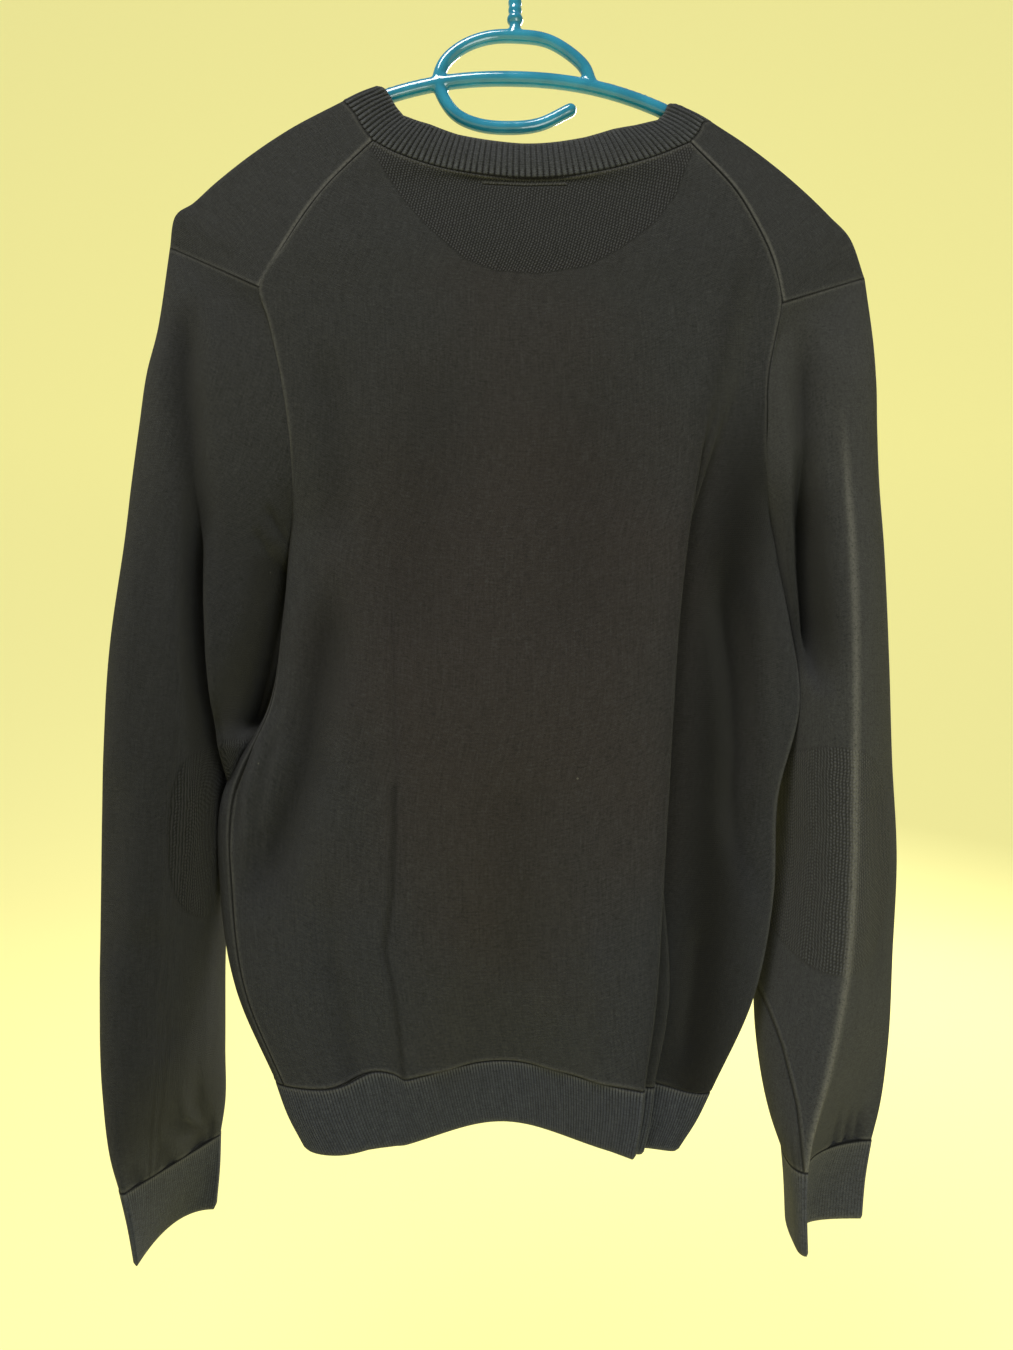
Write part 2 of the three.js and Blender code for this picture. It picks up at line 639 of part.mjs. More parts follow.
function post(radius, bottom, top) {
  const geometry = new THREE.CylinderGeometry(radius, radius, top - bottom, 12);
  geometry.rotateX(Math.PI / 2).translate(0, 0, (top + bottom) / 2);
  return solid(geometry);
}

// The open loop: from the bar, over the top under the stem, down through the bar and round to a free tip.
const LOOP = [[50, -122.1], [44.9, -110.9], [22.8, -95.1], [0, LOOP_TOP], [-19.1, -92.8], [-35.6, -99.3],
  [-46.9, -109.6], [-50.6, -121.5], [-46.7, -133.3], [-38.4, -143.7], [-24.5, -150], [-5, -152.1],
  [15.8, -150], [36.6, -140.3]];

const HOOK_CENTRE = -HOOK_INSIDE;
const HOOK_START = -60; // degrees round the hook, where it leaves the stem
const HOOK_END = 190;
const STEM_TOP = -60;

function hookPoints() {
  const points = [[0, 0, STEM_TOP - 4], [0.5, 0, STEM_TOP + 4], [4, 0, STEM_TOP + 13]];
  const radius = HOOK_INSIDE + HOOK_RADIUS;
  for (let angle = HOOK_START; angle <= HOOK_END; angle += 25) {
    const turn = THREE.MathUtils.degToRad(angle);
    points.push([radius * Math.cos(turn), 0, HOOK_CENTRE + radius * Math.sin(turn)]);
  }
  return points;
}

function hangerMesh() {
  const loop = new THREE.CatmullRomCurve3(LOOP.map(([x, z]) => new THREE.Vector3(x, 0, z)));
  const hook = new THREE.CatmullRomCurve3(hookPoints().map(vec));
  const parts = [
    rod(barCurve, BAR_RADIUS, 22),
    ball(barCurve.getPoint(0), BAR_RADIUS),
    ball(barCurve.getPoint(1), BAR_RADIUS),
    rod(loop, LOOP_RADIUS, 28),
    ball(loop.getPoint(1), LOOP_RADIUS),
    post(NECK_RADIUS, LOOP_TOP, LOOP_TOP + 12),
    post(COLLAR_RADIUS, LOOP_TOP + 8.5, LOOP_TOP + 12.5),
    post(STEM_RADIUS, LOOP_TOP + 12, STEM_TOP),
    rod(hook, HOOK_RADIUS, 20),
    ball(hook.getPoint(1), HOOK_RADIUS),
  ];
  const union = parts.reduce((whole, part) => whole.add(part));
  const out = union.getMesh();
  const geometry = new THREE.BufferGeometry();
  geometry.setAttribute('position', new THREE.BufferAttribute(new Float32Array(out.vertProperties), 3));
  geometry.setIndex(new THREE.BufferAttribute(new Uint32Array(out.triVerts), 1));
  geometry.computeVertexNormals();
  const material = new THREE.MeshStandardMaterial({ color: 0x2b7799, roughness: 0.25, metalness: 0 });
  const mesh = new THREE.Mesh(geometry, material);
  mesh.name = 'hanger';
  return mesh;
}

// ---------------------------------------------------------------- the whole

const sweater = new THREE.Group();
sweater.add(wall('back_panel', WALL, CLOTH, normals));
sweater.add(wall('front_panel', WALL, CLOTH, normals));
sweater.add(wall('sleeve_left', WALL, CLOTH, normals));
sweater.add(wall('sleeve_right', WALL, CLOTH, normals));
sweater.add(wall('neck_rib', RIB_WALL, RIB, normals));
sweater.add(wall('hem_rib', RIB_WALL, RIB, normals));
sweater.add(wall('cuff_left', RIB_WALL, RIB, normals));
sweater.add(wall('cuff_right', RIB_WALL, RIB, normals));
sweater.add(hangerMesh());

export default sweater;
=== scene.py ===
"""The looks of a fine-knit wool sweater that hangs on a plastic hanger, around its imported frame.

Shapes are worked out in millimetres, in the frame's axes: +Z up, and the back of the sweater
faces -Y. "Left" and "right" are the wearer's, so left pieces lie at -X.
"""

import math

import bpy
import numpy as np
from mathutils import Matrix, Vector


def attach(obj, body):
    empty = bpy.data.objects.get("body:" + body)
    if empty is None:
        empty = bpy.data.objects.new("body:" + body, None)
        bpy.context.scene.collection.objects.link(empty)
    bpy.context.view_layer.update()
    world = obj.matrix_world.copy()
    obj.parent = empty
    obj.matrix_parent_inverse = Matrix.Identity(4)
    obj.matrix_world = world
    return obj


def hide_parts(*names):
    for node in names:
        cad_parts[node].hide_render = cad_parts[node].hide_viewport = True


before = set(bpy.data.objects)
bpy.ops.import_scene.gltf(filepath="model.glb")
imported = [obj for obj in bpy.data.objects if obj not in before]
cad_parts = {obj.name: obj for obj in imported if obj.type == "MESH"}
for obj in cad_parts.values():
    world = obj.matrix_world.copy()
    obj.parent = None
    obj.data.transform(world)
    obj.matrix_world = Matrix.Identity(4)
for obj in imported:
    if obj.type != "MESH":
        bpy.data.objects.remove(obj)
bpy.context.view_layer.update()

MM = 0.001
KNIT_WALL = 1.6
RIB_WALL = 2.2
SEAM_STEP = 0.7  # between the rows or columns of points that are next to a seam
FINE_COLUMNS = 9  # rows or columns that are close together at a seam
FAR = 99  # stands for a distance that nothing is drawn at

# ------------------------------------------------------------------ curves


def running(gaps):
    return np.concatenate([[0], np.cumsum(gaps)])


def along(points):
    """Distance along a run of points, from its start."""
    return running(np.linalg.norm(np.diff(points, axis=0), axis=1))


def at_lengths(points, lengths):
    """The points at given distances along a run of points."""
    run = along(points)
    return np.stack([np.interp(lengths, run, points[:, k]) for k in range(3)], axis=1)


def evenly(points, count):
    return at_lengths(points, np.linspace(0, along(points)[-1], count))


def hermite(values, knots, at):
    """Smooth values at the positions `at`, through given values at the knots."""
    values, knots = np.asarray(values, float), np.asarray(knots, float)
    slopes = np.gradient(values, knots, axis=0)
    i = np.clip(np.searchsorted(knots, at, side="right") - 1, 0, len(knots) - 2)
    shape = (len(at),) + (1,) * (values.ndim - 1)
    step = (knots[i + 1] - knots[i]).reshape(shape)
    t = ((at - knots[i]).reshape(shape)) / step
    start = (1 + 2 * t) * (1 - t) ** 2 * values[i] + t * (1 - t) ** 2 * step * slopes[i]
    end = t * t * (3 - 2 * t) * values[i + 1] + t * t * (t - 1) * step * slopes[i + 1]
    return start + end


def smooth_line(points, count=160):
    """Points on a smooth curve through the given ones, evenly spaced."""
    points = np.asarray(points, float)
    knots = running(np.sqrt(np.linalg.norm(np.diff(points, axis=0), axis=1)))
    return evenly(hermite(points, knots, np.linspace(0, knots[-1], count * 3)), count)


def spaced(length, count, fine_start=0, fine_end=0):
    """Distances along a run, closer together near an end that is a seam."""
    gaps = np.full(count - 1, 1.0)
    average = length / (count - 1)
    fine = min(SEAM_STEP, average) / average
    for rows, side in ((fine_start, gaps), (fine_end, gaps[::-1])):
        for n in range(rows):
            side[n] = fine + (1 - fine) * max(0, n - rows + 4) / 4
    run = running(gaps)
    return run * length / run[-1]


def seam_spaced(points, count, fine_start=0, fine_end=0):
    """Points along a run, closer together near an end that is a seam."""
    return at_lengths(points, spaced(along(points)[-1], count, fine_start, fine_end))


def loft(rows, count, fine_start=0, fine_end=0):
    """A smooth surface down through rows of points, as count rows."""
    rows = np.asarray(rows, float)
    knots = running(np.linalg.norm(np.diff(rows, axis=0), axis=2).mean(axis=1))
    return hermite(rows, knots, spaced(knots[-1], count, fine_start, fine_end))


def quarter(edge, crest, rounding, count=90):
    """A quarter of a rounded section, from a side edge to a crest."""
    angle = np.linspace(0, math.pi / 2, count)
    across = 1 - np.cos(angle) ** rounding
    out = np.sin(angle) ** rounding
    edge, crest = np.asarray(edge, float), np.asarray(crest, float)
    points = edge + np.outer(across, crest - edge)
    points[:, 1] = edge[1] + out * (crest[1] - edge[1])
    return points


def bell(distance, reach):
    return np.exp(-((distance / reach) ** 2))


def smooth_step(low, high, value):
    """0 where value is at low, 1 where it is at high, and smooth between."""
    t = np.clip((value - low) / (high - low), 0, 1)
    return t * t * (3 - 2 * t)


def line_distance(points, line):
    """Signed distance in the XZ plane from points to a line, and the share along it.

    It is positive on the right of the line as it runs down."""
    line = np.asarray(line, float)
    run = along(line)
    best = np.full(points.shape[:-1], 1e9)
    share = np.zeros(points.shape[:-1])
    p = points[..., [0, 2]]
    for n in range(len(line) - 1):
        step = line[n + 1] - line[n]
        t = np.clip(((p - line[n]) @ step) / (step @ step), 0, 1)
        off = p - (line[n] + t[..., None] * step)
        size = np.linalg.norm(off, axis=-1)
        side = np.where(off[..., 0] * step[1] - off[..., 1] * step[0] < 0, 1.0, -1.0)
        closer = size < np.abs(best)
        best = np.where(closer, size * side, best)
        share = np.where(closer, (run[n] + t * np.linalg.norm(step)) / run[-1], share)
    return best, share


STEP_SHARPNESS = 1.2  # half the width of a "step" crease's drop
FULL_SHADE = 12  # how deep a "valley" is when the painted shade in it is darkest
MOST_SHADE = 0.65


def crease(grid, line, width, depth, ends=(0.25, 0.25), kind="valley"):
    """Presses a crease into the back of a grid, along a line of points [x, z].

    A "valley" is a soft trough (a ridge, with depth below 0), depth millimetres deep. A "gap"
    is a deep narrow one: depth is its share of the way in to the plane y = 0. A "step" lowers
    the cloth on the right of the line and lifts it on the left. ends are the shares of the
    line over which it fades out at its top and bottom. It returns the painted shade that each
    point gets deep in the fold, from 0 to 1."""
    distance, share = line_distance(grid, line)
    fade = smooth_step(-0.001, ends[0], share) * smooth_step(-0.001, ends[1], 1 - share)
    if kind == "step":
        drop = depth * fade * np.tanh(distance / STEP_SHARPNESS)
        grid[..., 1] += drop * np.exp(-np.abs(distance) / width)
        return np.zeros(distance.shape)
    push = depth * fade * bell(distance, width)
    facing = smooth_step(2, -10, grid[..., 1])
    grid[..., 1] += push * facing if kind == "valley" else -push * np.minimum(grid[..., 1], 0)
    # The painted shade: by the depth of a valley, and across the width of a gap.
    if kind == "valley":
        return np.clip(push * facing / FULL_SHADE, 0, MOST_SHADE)
    return facing * fade * bell(distance, width * 2.2)


# ------------------------------------------------------------------ the hanger's bar

BAR_TOP = -119.7
BAR_TILT = math.radians(1.3)
BAR_HALF = [(28, 1.2), (56, 5.5), (88, 15), (125, 32), (160, 54), (190, 78), (207, 94)]
BAR_RADIUS = 4.7
CLOTH_REST = BAR_RADIUS + KNIT_WALL / 2 + 0.5
SOFT_RADIUS = 5  # of the fold over the shoulder beyond the bar's end


def bar_line():
    half = [(x, -drop) for x, drop in BAR_HALF]
    reach = [(-x, z) for x, z in half[::-1]] + [(0, 0)] + half
    cos, sin = math.cos(BAR_TILT), math.sin(BAR_TILT)
    return smooth_line([(x * cos + z * sin, 0, -x * sin + z * cos + BAR_TOP) for x, z in reach], 400)


BAR = bar_line()


def bar_at(x):
    """The bar's middle at a given x, and the direction that is up from it."""
    n = int(np.argmax(BAR[:, 0] >= x))
    step = BAR[n] - BAR[n - 1]
    return BAR[n], np.array([-step[2], 0, step[0]]) / np.linalg.norm(step)


def over_bar(x):
    """The top line of the cloth on the bar, at a given x."""
    place, up = bar_at(x)
    return place + up * CLOTH_REST


# ------------------------------------------------------------------ seams and levels

# The side edges of the back, from the neck down: one row of points for each level of the back.
# Each is [x, y, z], and the last armhole point is the underarm.
LEFT_EDGE = [
    (-92, -14, -168), (-119, -18, -197), (-133, -22, -217), (-147, -25, -241), (-162, -27, -268),
    (-156, -29, -289), (-149, -31, -318), (-143, -32, -353), (-141, -25, -391), (-146, -8, -432),
    (-149, -13, -480), (-156, -17, -530), (-185, -24, -590), (-186, -24, -650), (-175, -28, -710),
    (-149, -34, -765), (-130, -36, -806),
]
RIGHT_EDGE = [
    (113, -14, -169), (139, -20, -200), (151, -23, -221), (163, -26, -249), (169, -28, -278),
    (165, -29, -299), (160, -31, -325), (159, -32, -352), (160, -26, -387), (168, -8, -432),
    (174, -22, -480), (178, -32, -530), (163, -38, -590), (160, -38, -650), (147, -38, -710),
    (121, -36, -765), (100, -36, -806),
]
# The pleat's edge at each level: [x, y], how far it is closed, how far it drops, and how far
# the strip under it shows past it.
PLEAT = [
    (108, -15, 0, 0.2, 0), (130, -20, 0, 0.5, 0), (136, -24, 0, 1.2, 0), (138, -29, 0, 3, 0),
    (134, -32, 0, 4.5, 0), (130, -34, 0, 6, 0), (124, -36, 0.1, 7.5, 0), (118, -38, 0.3, 9, 0),
    (112, -40, 0.6, 10, -2), (105, -45, 0.9, 12, -4), (99, -50, 1, 14, -6), (95, -54, 1, 16, -6),
    (91, -58, 1, 17, -8), (87, -62, 1, 18, 2), (83, -65, 1, 18, 9), (76, -67, 1, 17, 7),
    (70, -67, 1, 16, 6),
]
TROUGH = [0, 0, 0, 0, 0, 0, 0, 0, 0, 0, 0, 0, 4, 12, 26, 44, 47]
FRONT_Y = [16, 16, 16, 16, 17, 17, 18, 18, 18, 17, 19, 20, 20, 20, 19, 17, 15]
# How far onto the back the left side seam lies, along the cloth.
SEAM_SHIFT = [0, 0, 0, 0, 0, 0, 0, 0, 0, 0, 4, 11, 19, 22, 20, 17, 15]
CAP_LEVEL, UNDERARM_LEVEL, HEM_LEVEL = 4, 9, 15

BACK_NECK = [
    (-92, -14, -168), (-76, -18, -178), (-42, -21, -190), (13, -22, -196), (54, -21, -191),
    (90, -18, -180), (113, -14, -169),
]
FRONT_NECK = (3, 16, -222)
# The front ends of the armholes, from the top of the armhole to the underarm.
LEFT_FRONT = [
    (-165, 15, -268), (-158, 17, -289), (-151, 17, -318), (-144, 17, -353), (-141, 12, -391),
    (-146, -8, -432),
]
RIGHT_FRONT = [
    (170, 15, -280), (166, 16, -299), (162, 17, -325), (159, 17, -352), (160, 12, -387),
    (168, -8, -432),
]

# How far the hem rises left of the fine crease, and drops at its right end, level by level.
HEM_WAVES = {13: (1, 1), 14: (4, 5), 15: (9, 8), 16: (2, 6)}
HEM_RISE_X, HEM_RISE_REACH = -86, 16
HEM_RISE_STOPS, HEM_DROP_SETS_IN = (-67, -74), (78, 118)

BODY_ROUND = 0.7
TROUGH_X, TROUGH_REACH, TROUGH_RISE, TROUGH_MARGIN = -8, 62, 0.13, 40
FRONT_FOLDS, FRONT_FOLD_REACH, FRONT_FOLD_MARGIN = (-72, 60), 26, 30
FRONT_FOLD_DEPTH = [0, 0, 0, 0, 0, 0, 0, 0, 0, 1, 3, 5, 7, 9, 11, 13, 14]

SIDES = {
    "left": {
        "high": -112, "ridge": (-145, -170, -194, -209), "corner": (-223, 0, -211), "tip": (-227, 0, -233),
        "edge": LEFT_EDGE, "front": LEFT_FRONT,
        "neck_back": [(-105, -9, -147), (-99, -12, -158), LEFT_EDGE[0]],
        "neck_front": [(-103, 11, -160), (-76, 15, -197), (-36, 16, -217), FRONT_NECK],
    },
    "right": {
        "high": 127, "ridge": (147, 170, 190, 203), "corner": (220, 0, -226), "tip": (230, 0, -253),
        "edge": RIGHT_EDGE, "front": RIGHT_FRONT,
        "neck_back": [(123, -9, -153), (119, -12, -161), RIGHT_EDGE[0]],
        "neck_front": [(115, 11, -168), (84, 15, -200), (42, 16, -217), FRONT_NECK],
    },
}

# The sleeves' levels. Each is: height; inner edge; near crest, on the back; outer edge; far
# crest, on the front, as [x, y]; and the roundness of the section on each side of the near
# crest: 1 is an ellipse, 2 a straight line, and more is hollow. The levels above the underarm
# are open at the armhole, which gives their height and their inner edge.
LEFT_SLEEVE_TOP = [
    ((-192, -25), (-233, -4), (-200, 16), (0.9, 0.9)),
    ((-197, -31), (-239, -6), (-196, 17), (0.9, 0.9)),
    ((-204, -34), (-243, -8), (-193, 18), (0.9, 0.9)),
    ((-212, -37), (-247, -10), (-192, 18), (0.9, 0.9)),
    ((-224, -43), (-249, -16), (-196, 17), (0.9, 0.9)),
]
LEFT_SLEEVE = [
    (-500, (-152, 6), (-227, -60), (-252, -30), (-204, 20), (0.8, 0.85)),
    (-565, (-173, 5), (-228, -72), (-251, -40), (-212, 20), (0.8, 0.85)),
    (-630, (-187, -4), (-228, -78), (-250, -46), (-212, 20), (0.85, 0.85)),
    (-695, (-192, -8), (-230, -80), (-249, -50), (-208, 20), (0.9, 0.85)),
    (-760, (-193, -4), (-232, -80), (-246, -54), (-205, 18), (1.2, 0.85)),
    (-800, (-194, 3), (-233, -76), (-241, -55), (-205, 16), (1.7, 0.9)),
    (-819, (-197, 4), (-231, -72), (-237, -54), (-205, 14), (2, 1)),
]
LEFT_CUFF = [
    LEFT_SLEEVE[-1],
    (-840, (-197, 1), (-228, -69), (-233, -52), (-206, 13), (2.6, 1)),
    (-866, (-199, -1), (-226, -65), (-229, -50), (-206, 12), (4, 1)),
]
RIGHT_SLEEVE_TOP = [
    ((200, -24), (234, -4), (204, 16), (0.9, 1)),
    ((204, -29), (235, -5), (203, 17), (0.9, 1)),
    ((206, -32), (235, -7), (201, 18), (0.9, 1.1)),
    ((207, -36), (236, -8), (200, 18), (0.85, 1.2)),
    ((208, -43), (238, -12), (205, 17), (0.85, 1.3)),
]
RIGHT_SLEEVE = [
    (-500, (176, 4), (207, -53), (240, -16), (208, 20), (0.85, 1.5)),
    (-565, (171, 4), (205, -58), (241, -19), (206, 20), (0.9, 1.6)),
    (-630, (168, 2), (203, -62), (243, -22), (206, 21), (1, 1.7)),
    (-690, (158, -8), (198, -65), (240, -23), (204, 20), (1.1, 1.8)),
    (-750, (155, -30), (186, -68), (236, -25), (204, 15), (1.1, 2)),
    (-790, (160, -48), (175, -70), (230, -26), (210, 9), (1.1, 2.6)),
    (-808, (165.5, -56), (172, -70), (225, -27), (214, 6), (1, 3.2)),
]
RIGHT_CUFF = [
    RIGHT_SLEEVE[-1],
    (-832, (167, -62), (171, -71), (221, -27), (209, 6), (1, 4.2)),
    (-857, (168, -64), (171.5, -71), (218, -29), (207, 6), (1, 5)),
]

# ------------------------------------------------------------------ sections of the body

FOLD_COLUMNS = 44
FOLD_DEPTH = 14
OPEN_WIDTH = 26  # of the soft step that the pleat opens out into near the neck
PLEAT_ROOM = 0.6  # the most of the cloth right of the pleat that its folds may take up


def pleat_run(crest, closed, drop, strip):
    """The cloth's path through the pleat, from its edge to where the right side goes on."""
    layer = drop / 5
    fold = FOLD_DEPTH
    shut = [(0, 0), (1, 0.5), (0, 1), (-fold / 2, 1.1), (-fold, 1.25), (-fold - 1, 1.7), (-fold, 2.15),
            (strip - 4, 2.2), (strip, 2.35), (strip + 1, 2.8), (strip, 3.3), (-fold * 0.6, 3.55),
            (-fold * 0.6 - 1, 4), (-fold * 0.6, 4.5), (-2, 4.9), (3, 5)]
    points = []
    for n, (x, y) in enumerate(shut):
        share = n / (len(shut) - 1)
        open_x, open_y = OPEN_WIDTH * share, 5 * (3 * share**2 - 2 * share**3)
        points.append((crest[0] + closed**2 * x + (1 - closed) * open_x,
                       crest[1] + layer * (closed * y + (1 - closed) * open_y), crest[2]))
    return smooth_line(points, 120)


def inside(run, left, right, reach):
    """0 at either side edge of the body, and 1 from reach millimetres inside it."""
    return np.clip(np.minimum(run[:, 0] - left[0], right[0] - run[:, 0]) / reach, 0, 1)


def front_run(right, left, y):
    """A level of the front, from its right edge to its left one."""
    middle = (0, y, (right[2] + left[2]) / 2)
    return np.concatenate([quarter(right, middle, BODY_ROUND), quarter(left, middle, BODY_ROUND)[-2::-1]])


def trough(run, left, right, depth):
    """How deep the wide trough down the back is, where depth is its deepest."""
    return depth * inside(run, left, right, TROUGH_MARGIN) * bell(run[:, 0] - TROUGH_X, TROUGH_REACH)


def body_level(n):
    """The four runs of one level: from the left edge to the pleat, through it, on to the right
    edge, and back along the front."""
    left, right = np.array(LEFT_EDGE[n], float), np.array(RIGHT_EDGE[n], float)
    x, y, closed, drop, strip = PLEAT[n]
    share = (x - left[0]) / (right[0] - left[0])
    crest = np.array([x, y, left[2] + share * (right[2] - left[2])])
    if n == 0:
        neck = smooth_line(BACK_NECK, 300)
        cut = int(np.argmax(neck[:, 0] > x))
        lead, crest = neck[:cut], neck[cut]
        pleat = smooth_line([crest, crest + (neck[-1] - crest) * 0.5], 20)
        tail = smooth_line([pleat[-1], neck[-1]], 20)
    else:
        lead = quarter(left, crest, BODY_ROUND)
        lead[:, 1] += trough(lead, left, right, TROUGH[n])
        pleat = pleat_run(lead[-1], closed, drop, strip)
        room = (right[0] - x) * PLEAT_ROOM
        if pleat[-1, 0] > x + room:
            pleat[:, 0] = x + (pleat[:, 0] - x) * room / (pleat[-1, 0] - x)
        pleat[:, 1] += np.interp(pleat[:, 0], lead[:, 0], lead[:, 1]) - lead[-1, 1]
        tail = quarter(right, pleat[-1], BODY_ROUND)[::-1]
    front = front_run(right, left, FRONT_Y[n])
    runs = [lead, pleat, tail, front]
    if n > 0:
        for run in runs[:3]:
            run[:, 2] += trough(run, left, right, TROUGH[n] * TROUGH_RISE)
        for fold_x in FRONT_FOLDS:
            depth = FRONT_FOLD_DEPTH[n] * inside(front, left, right, FRONT_FOLD_MARGIN)
            front[:, 1] -= depth * bell(front[:, 0] - fold_x, FRONT_FOLD_REACH)
    rise, drop = HEM_WAVES.get(n, (0, 0))
    for run in runs[:3]:
        up = rise * bell(run[:, 0] - HEM_RISE_X, HEM_RISE_REACH)
        run[:, 2] += up * smooth_step(*HEM_RISE_STOPS, run[:, 0])
    for run in runs:
        run[:, 2] -= drop * smooth_step(*HEM_DROP_SETS_IN, run[:, 0])
    return runs


LEAD_COLUMNS, TAIL_COLUMNS = 144, 48
BACK_ROWS = 206


def back_grid():
    rows = []
    for n in range(HEM_LEVEL + 1):
        lead, pleat, tail, _ = body_level(n)
        length = along(lead)[-1]
        start = SEAM_SHIFT[n]
        rows.append(np.concatenate([
            at_lengths(lead, start + spaced(length - start, LEAD_COLUMNS, fine_start=FINE_COLUMNS)),
            evenly(pleat, FOLD_COLUMNS)[1:-1],
            seam_spaced(tail, TAIL_COLUMNS, fine_end=FINE_COLUMNS),
        ]))
    return loft(rows, BACK_ROWS, FINE_COLUMNS, FINE_COLUMNS)


STRAP_ROWS, STRAP_COLUMNS = 90, 96
FRONT_ROWS = 150


def front_level(n, columns):
    """One level of the front, from the right armhole or side seam to the left one."""
    if n <= UNDERARM_LEVEL:
        run = front_run(RIGHT_FRONT[n - CAP_LEVEL], LEFT_FRONT[n - CAP_LEVEL], FRONT_Y[n])
    else:
        lead, _, _, run = body_level(n)
        wrap = at_lengths(lead, np.linspace(0, SEAM_SHIFT[n], 12))
        run = np.concatenate([run, wrap[1:]])
    return seam_spaced(run, columns, FINE_COLUMNS, FINE_COLUMNS)


def taut(distance, length, end, radius):
    """How far out the cloth lies at a distance below a bar that it is pulled over."""
    turns = np.linspace(0.05, math.pi / 2, 200)
    slope = np.cos(turns) / np.sin(turns)
    reach = radius * np.sin(turns) + slope * (length - radius * (1 - np.cos(turns)))
    best = int(np.argmin(np.abs(reach - end)))
    leave = radius * (1 - math.cos(turns[best]))
    on_bar = np.sqrt(np.maximum(0, radius**2 - (radius - np.minimum(distance, radius)) ** 2))
    straight = radius * math.sin(turns[best]) + slope[best] * (distance - leave)
    return np.where(distance < leave, on_bar, straight * end / max(reach[best], 1e-6))


def neck_bow(high, points):
    """How far the neck's edge bows from a straight run, in x and in z, by the share along it."""
    line = smooth_line([high, *points], 60)
    share = np.linspace(0, 1, 60)
    straight = line[0] + np.outer(share, line[-1] - line[0])
    return np.column_stack([(line - straight)[:, [0, 2]], share])


def strap_grid(side):
    """The strap over one shoulder: rows from the neck to the sleeve, each from the seam on
    the back over the hanger to the front."""
    high = over_bar(side["high"])
    ridge = smooth_line([high, *[over_bar(x) for x in side["ridge"]], side["corner"], side["tip"]], 300)
    seam = smooth_line(side["edge"][:CAP_LEVEL + 1])
    front = np.array([FRONT_NECK, side["front"][0]], float)
    ridge, seam, front = (seam_spaced(run, STRAP_ROWS, FINE_COLUMNS, FINE_COLUMNS)
                          for run in (ridge, seam, front))
    bows = [neck_bow(high, side["neck_back"]), neck_bow(high, side["neck_front"])]
    rows = []
    for n in range(STRAP_ROWS):
        share = n / (STRAP_ROWS - 1)
        beyond = smooth_step(0.8, 1.0, share)
        radius = CLOTH_REST * (1 - beyond) + SOFT_RADIUS * beyond
        halves = []
        for end, sign, bow in ((seam[n], -1, bows[0]), (front[n], 1, bows[1])):
            length = np.linalg.norm((end - ridge[n])[[0, 2]])
            t = np.linspace(0, 1, 160) ** 2
            run = ridge[n] + np.outer(t, end - ridge[n])
            run[:, 1] = sign * taut(t * length, length, abs(end[1]), radius)
            for k, column in ((0, 0), (2, 1)):
                run[:, k] += np.interp(t, bow[:, 2], bow[:, column]) * (1 - share) ** 2
            halves.append(run)
        back, fore = halves[0][::-1], halves[1]
        rows.append(np.concatenate([
            seam_spaced(back, STRAP_COLUMNS // 2, fine_start=FINE_COLUMNS),
            evenly(fore, STRAP_COLUMNS // 2 + 1)[1:],
        ]))
    return np.array(rows)


# ------------------------------------------------------------------ sections of a sleeve

QUARTERS = (66, 24, 26, 26)  # columns in each quarter of a sleeve's section
SLEEVE_ROWS = 250
FRONT_ROUND = 0.85


def sleeve_level(start, end, level, z, counts=QUARTERS):
    """One section of a sleeve, from the inner edge over the back and round to it again."""
    *places, (turn_in, turn_out) = level[-4:]
    near, outer, far = ((*place, z) for place in places)
    runs = [quarter(start, near, turn_in), quarter(outer, near, turn_out)[::-1],
            quarter(outer, far, FRONT_ROUND), quarter(end, far, FRONT_ROUND)[::-1]]
    parts = [evenly(run, count + 1)[:-1] for run, count in zip(runs, counts)]
    return np.concatenate([*parts, [end]])


def closed_level(level, counts=QUARTERS):
    inner = np.array([*level[1], level[0]], float)
    return sleeve_level(inner, inner, level, level[0], counts)


def sleeve_grid(top_row, edge, front, tops, levels):
    rows = [top_row]
    for n, level in enumerate(tops):
        start, end = np.array(edge[CAP_LEVEL + 1 + n], float), np.array(front[1 + n], float)
        rows.append(sleeve_level(start, end, level, (start[2] + end[2]) / 2))
    rows += [closed_level(level) for level in levels]
    return loft(rows, SLEEVE_ROWS, FINE_COLUMNS, FINE_COLUMNS)


def cap_row(strap):
    """The strap's last row, with the sleeve's columns."""
    row = strap[-1]
    middle = int(np.argmin(np.abs(row[:, 1])))
    back, fore = row[:middle + 1], row[middle:]
    back_count, fore_count = sum(QUARTERS[:2]), sum(QUARTERS[2:])
    return np.concatenate([evenly(back, back_count + 1)[:-1], evenly(fore, fore_count + 1)])


# ------------------------------------------------------------------ cloth meshes


def spans(grid):
    """Distances over the cloth: across from its left side, and down from its top."""
    across = np.linalg.norm(np.diff(grid, axis=1), axis=2).cumsum(axis=1)
    down = np.linalg.norm(np.diff(grid, axis=0), axis=2).cumsum(axis=0)
    return np.pad(across, ((0, 0), (1, 0))), np.pad(down, ((1, 0), (0, 0)))


def edge_distance(grid, sides):
    """Distance over the cloth to the nearest of the given sides: left, right, top, bottom."""
    across, down = spans(grid)
    found = {"l": across, "r": across[:, -1:] - across, "t": down, "b": down[-1:] - down}
    return np.min([found[name] for name in sides] + [np.full(across.shape, FAR)], axis=0)


def seam_lift(distance, height=0.5, place=1.5, width=1.0):
    """How far a linked seam stands proud: a low ridge beside a groove at the cloth's edge."""
    return height * bell(distance - place, width) - 0.5 * bell(distance, 0.55)


def seam_wear(distance, amount, place=1.5, width=1.2):
    """How rubbed the ridge beside a seam is."""
    return amount * bell(distance - place, width)


def knit_uv(grid, centre):
    """Courses and wales in millimetres: across from a centre column, and down each column."""
    across, down = spans(grid)
    return np.stack([across - across[:, centre:centre + 1], down], axis=2)


def add_object(name, data):
    piece = bpy.data.objects.new(name, data)
    bpy.context.scene.collection.objects.link(piece)
    return piece
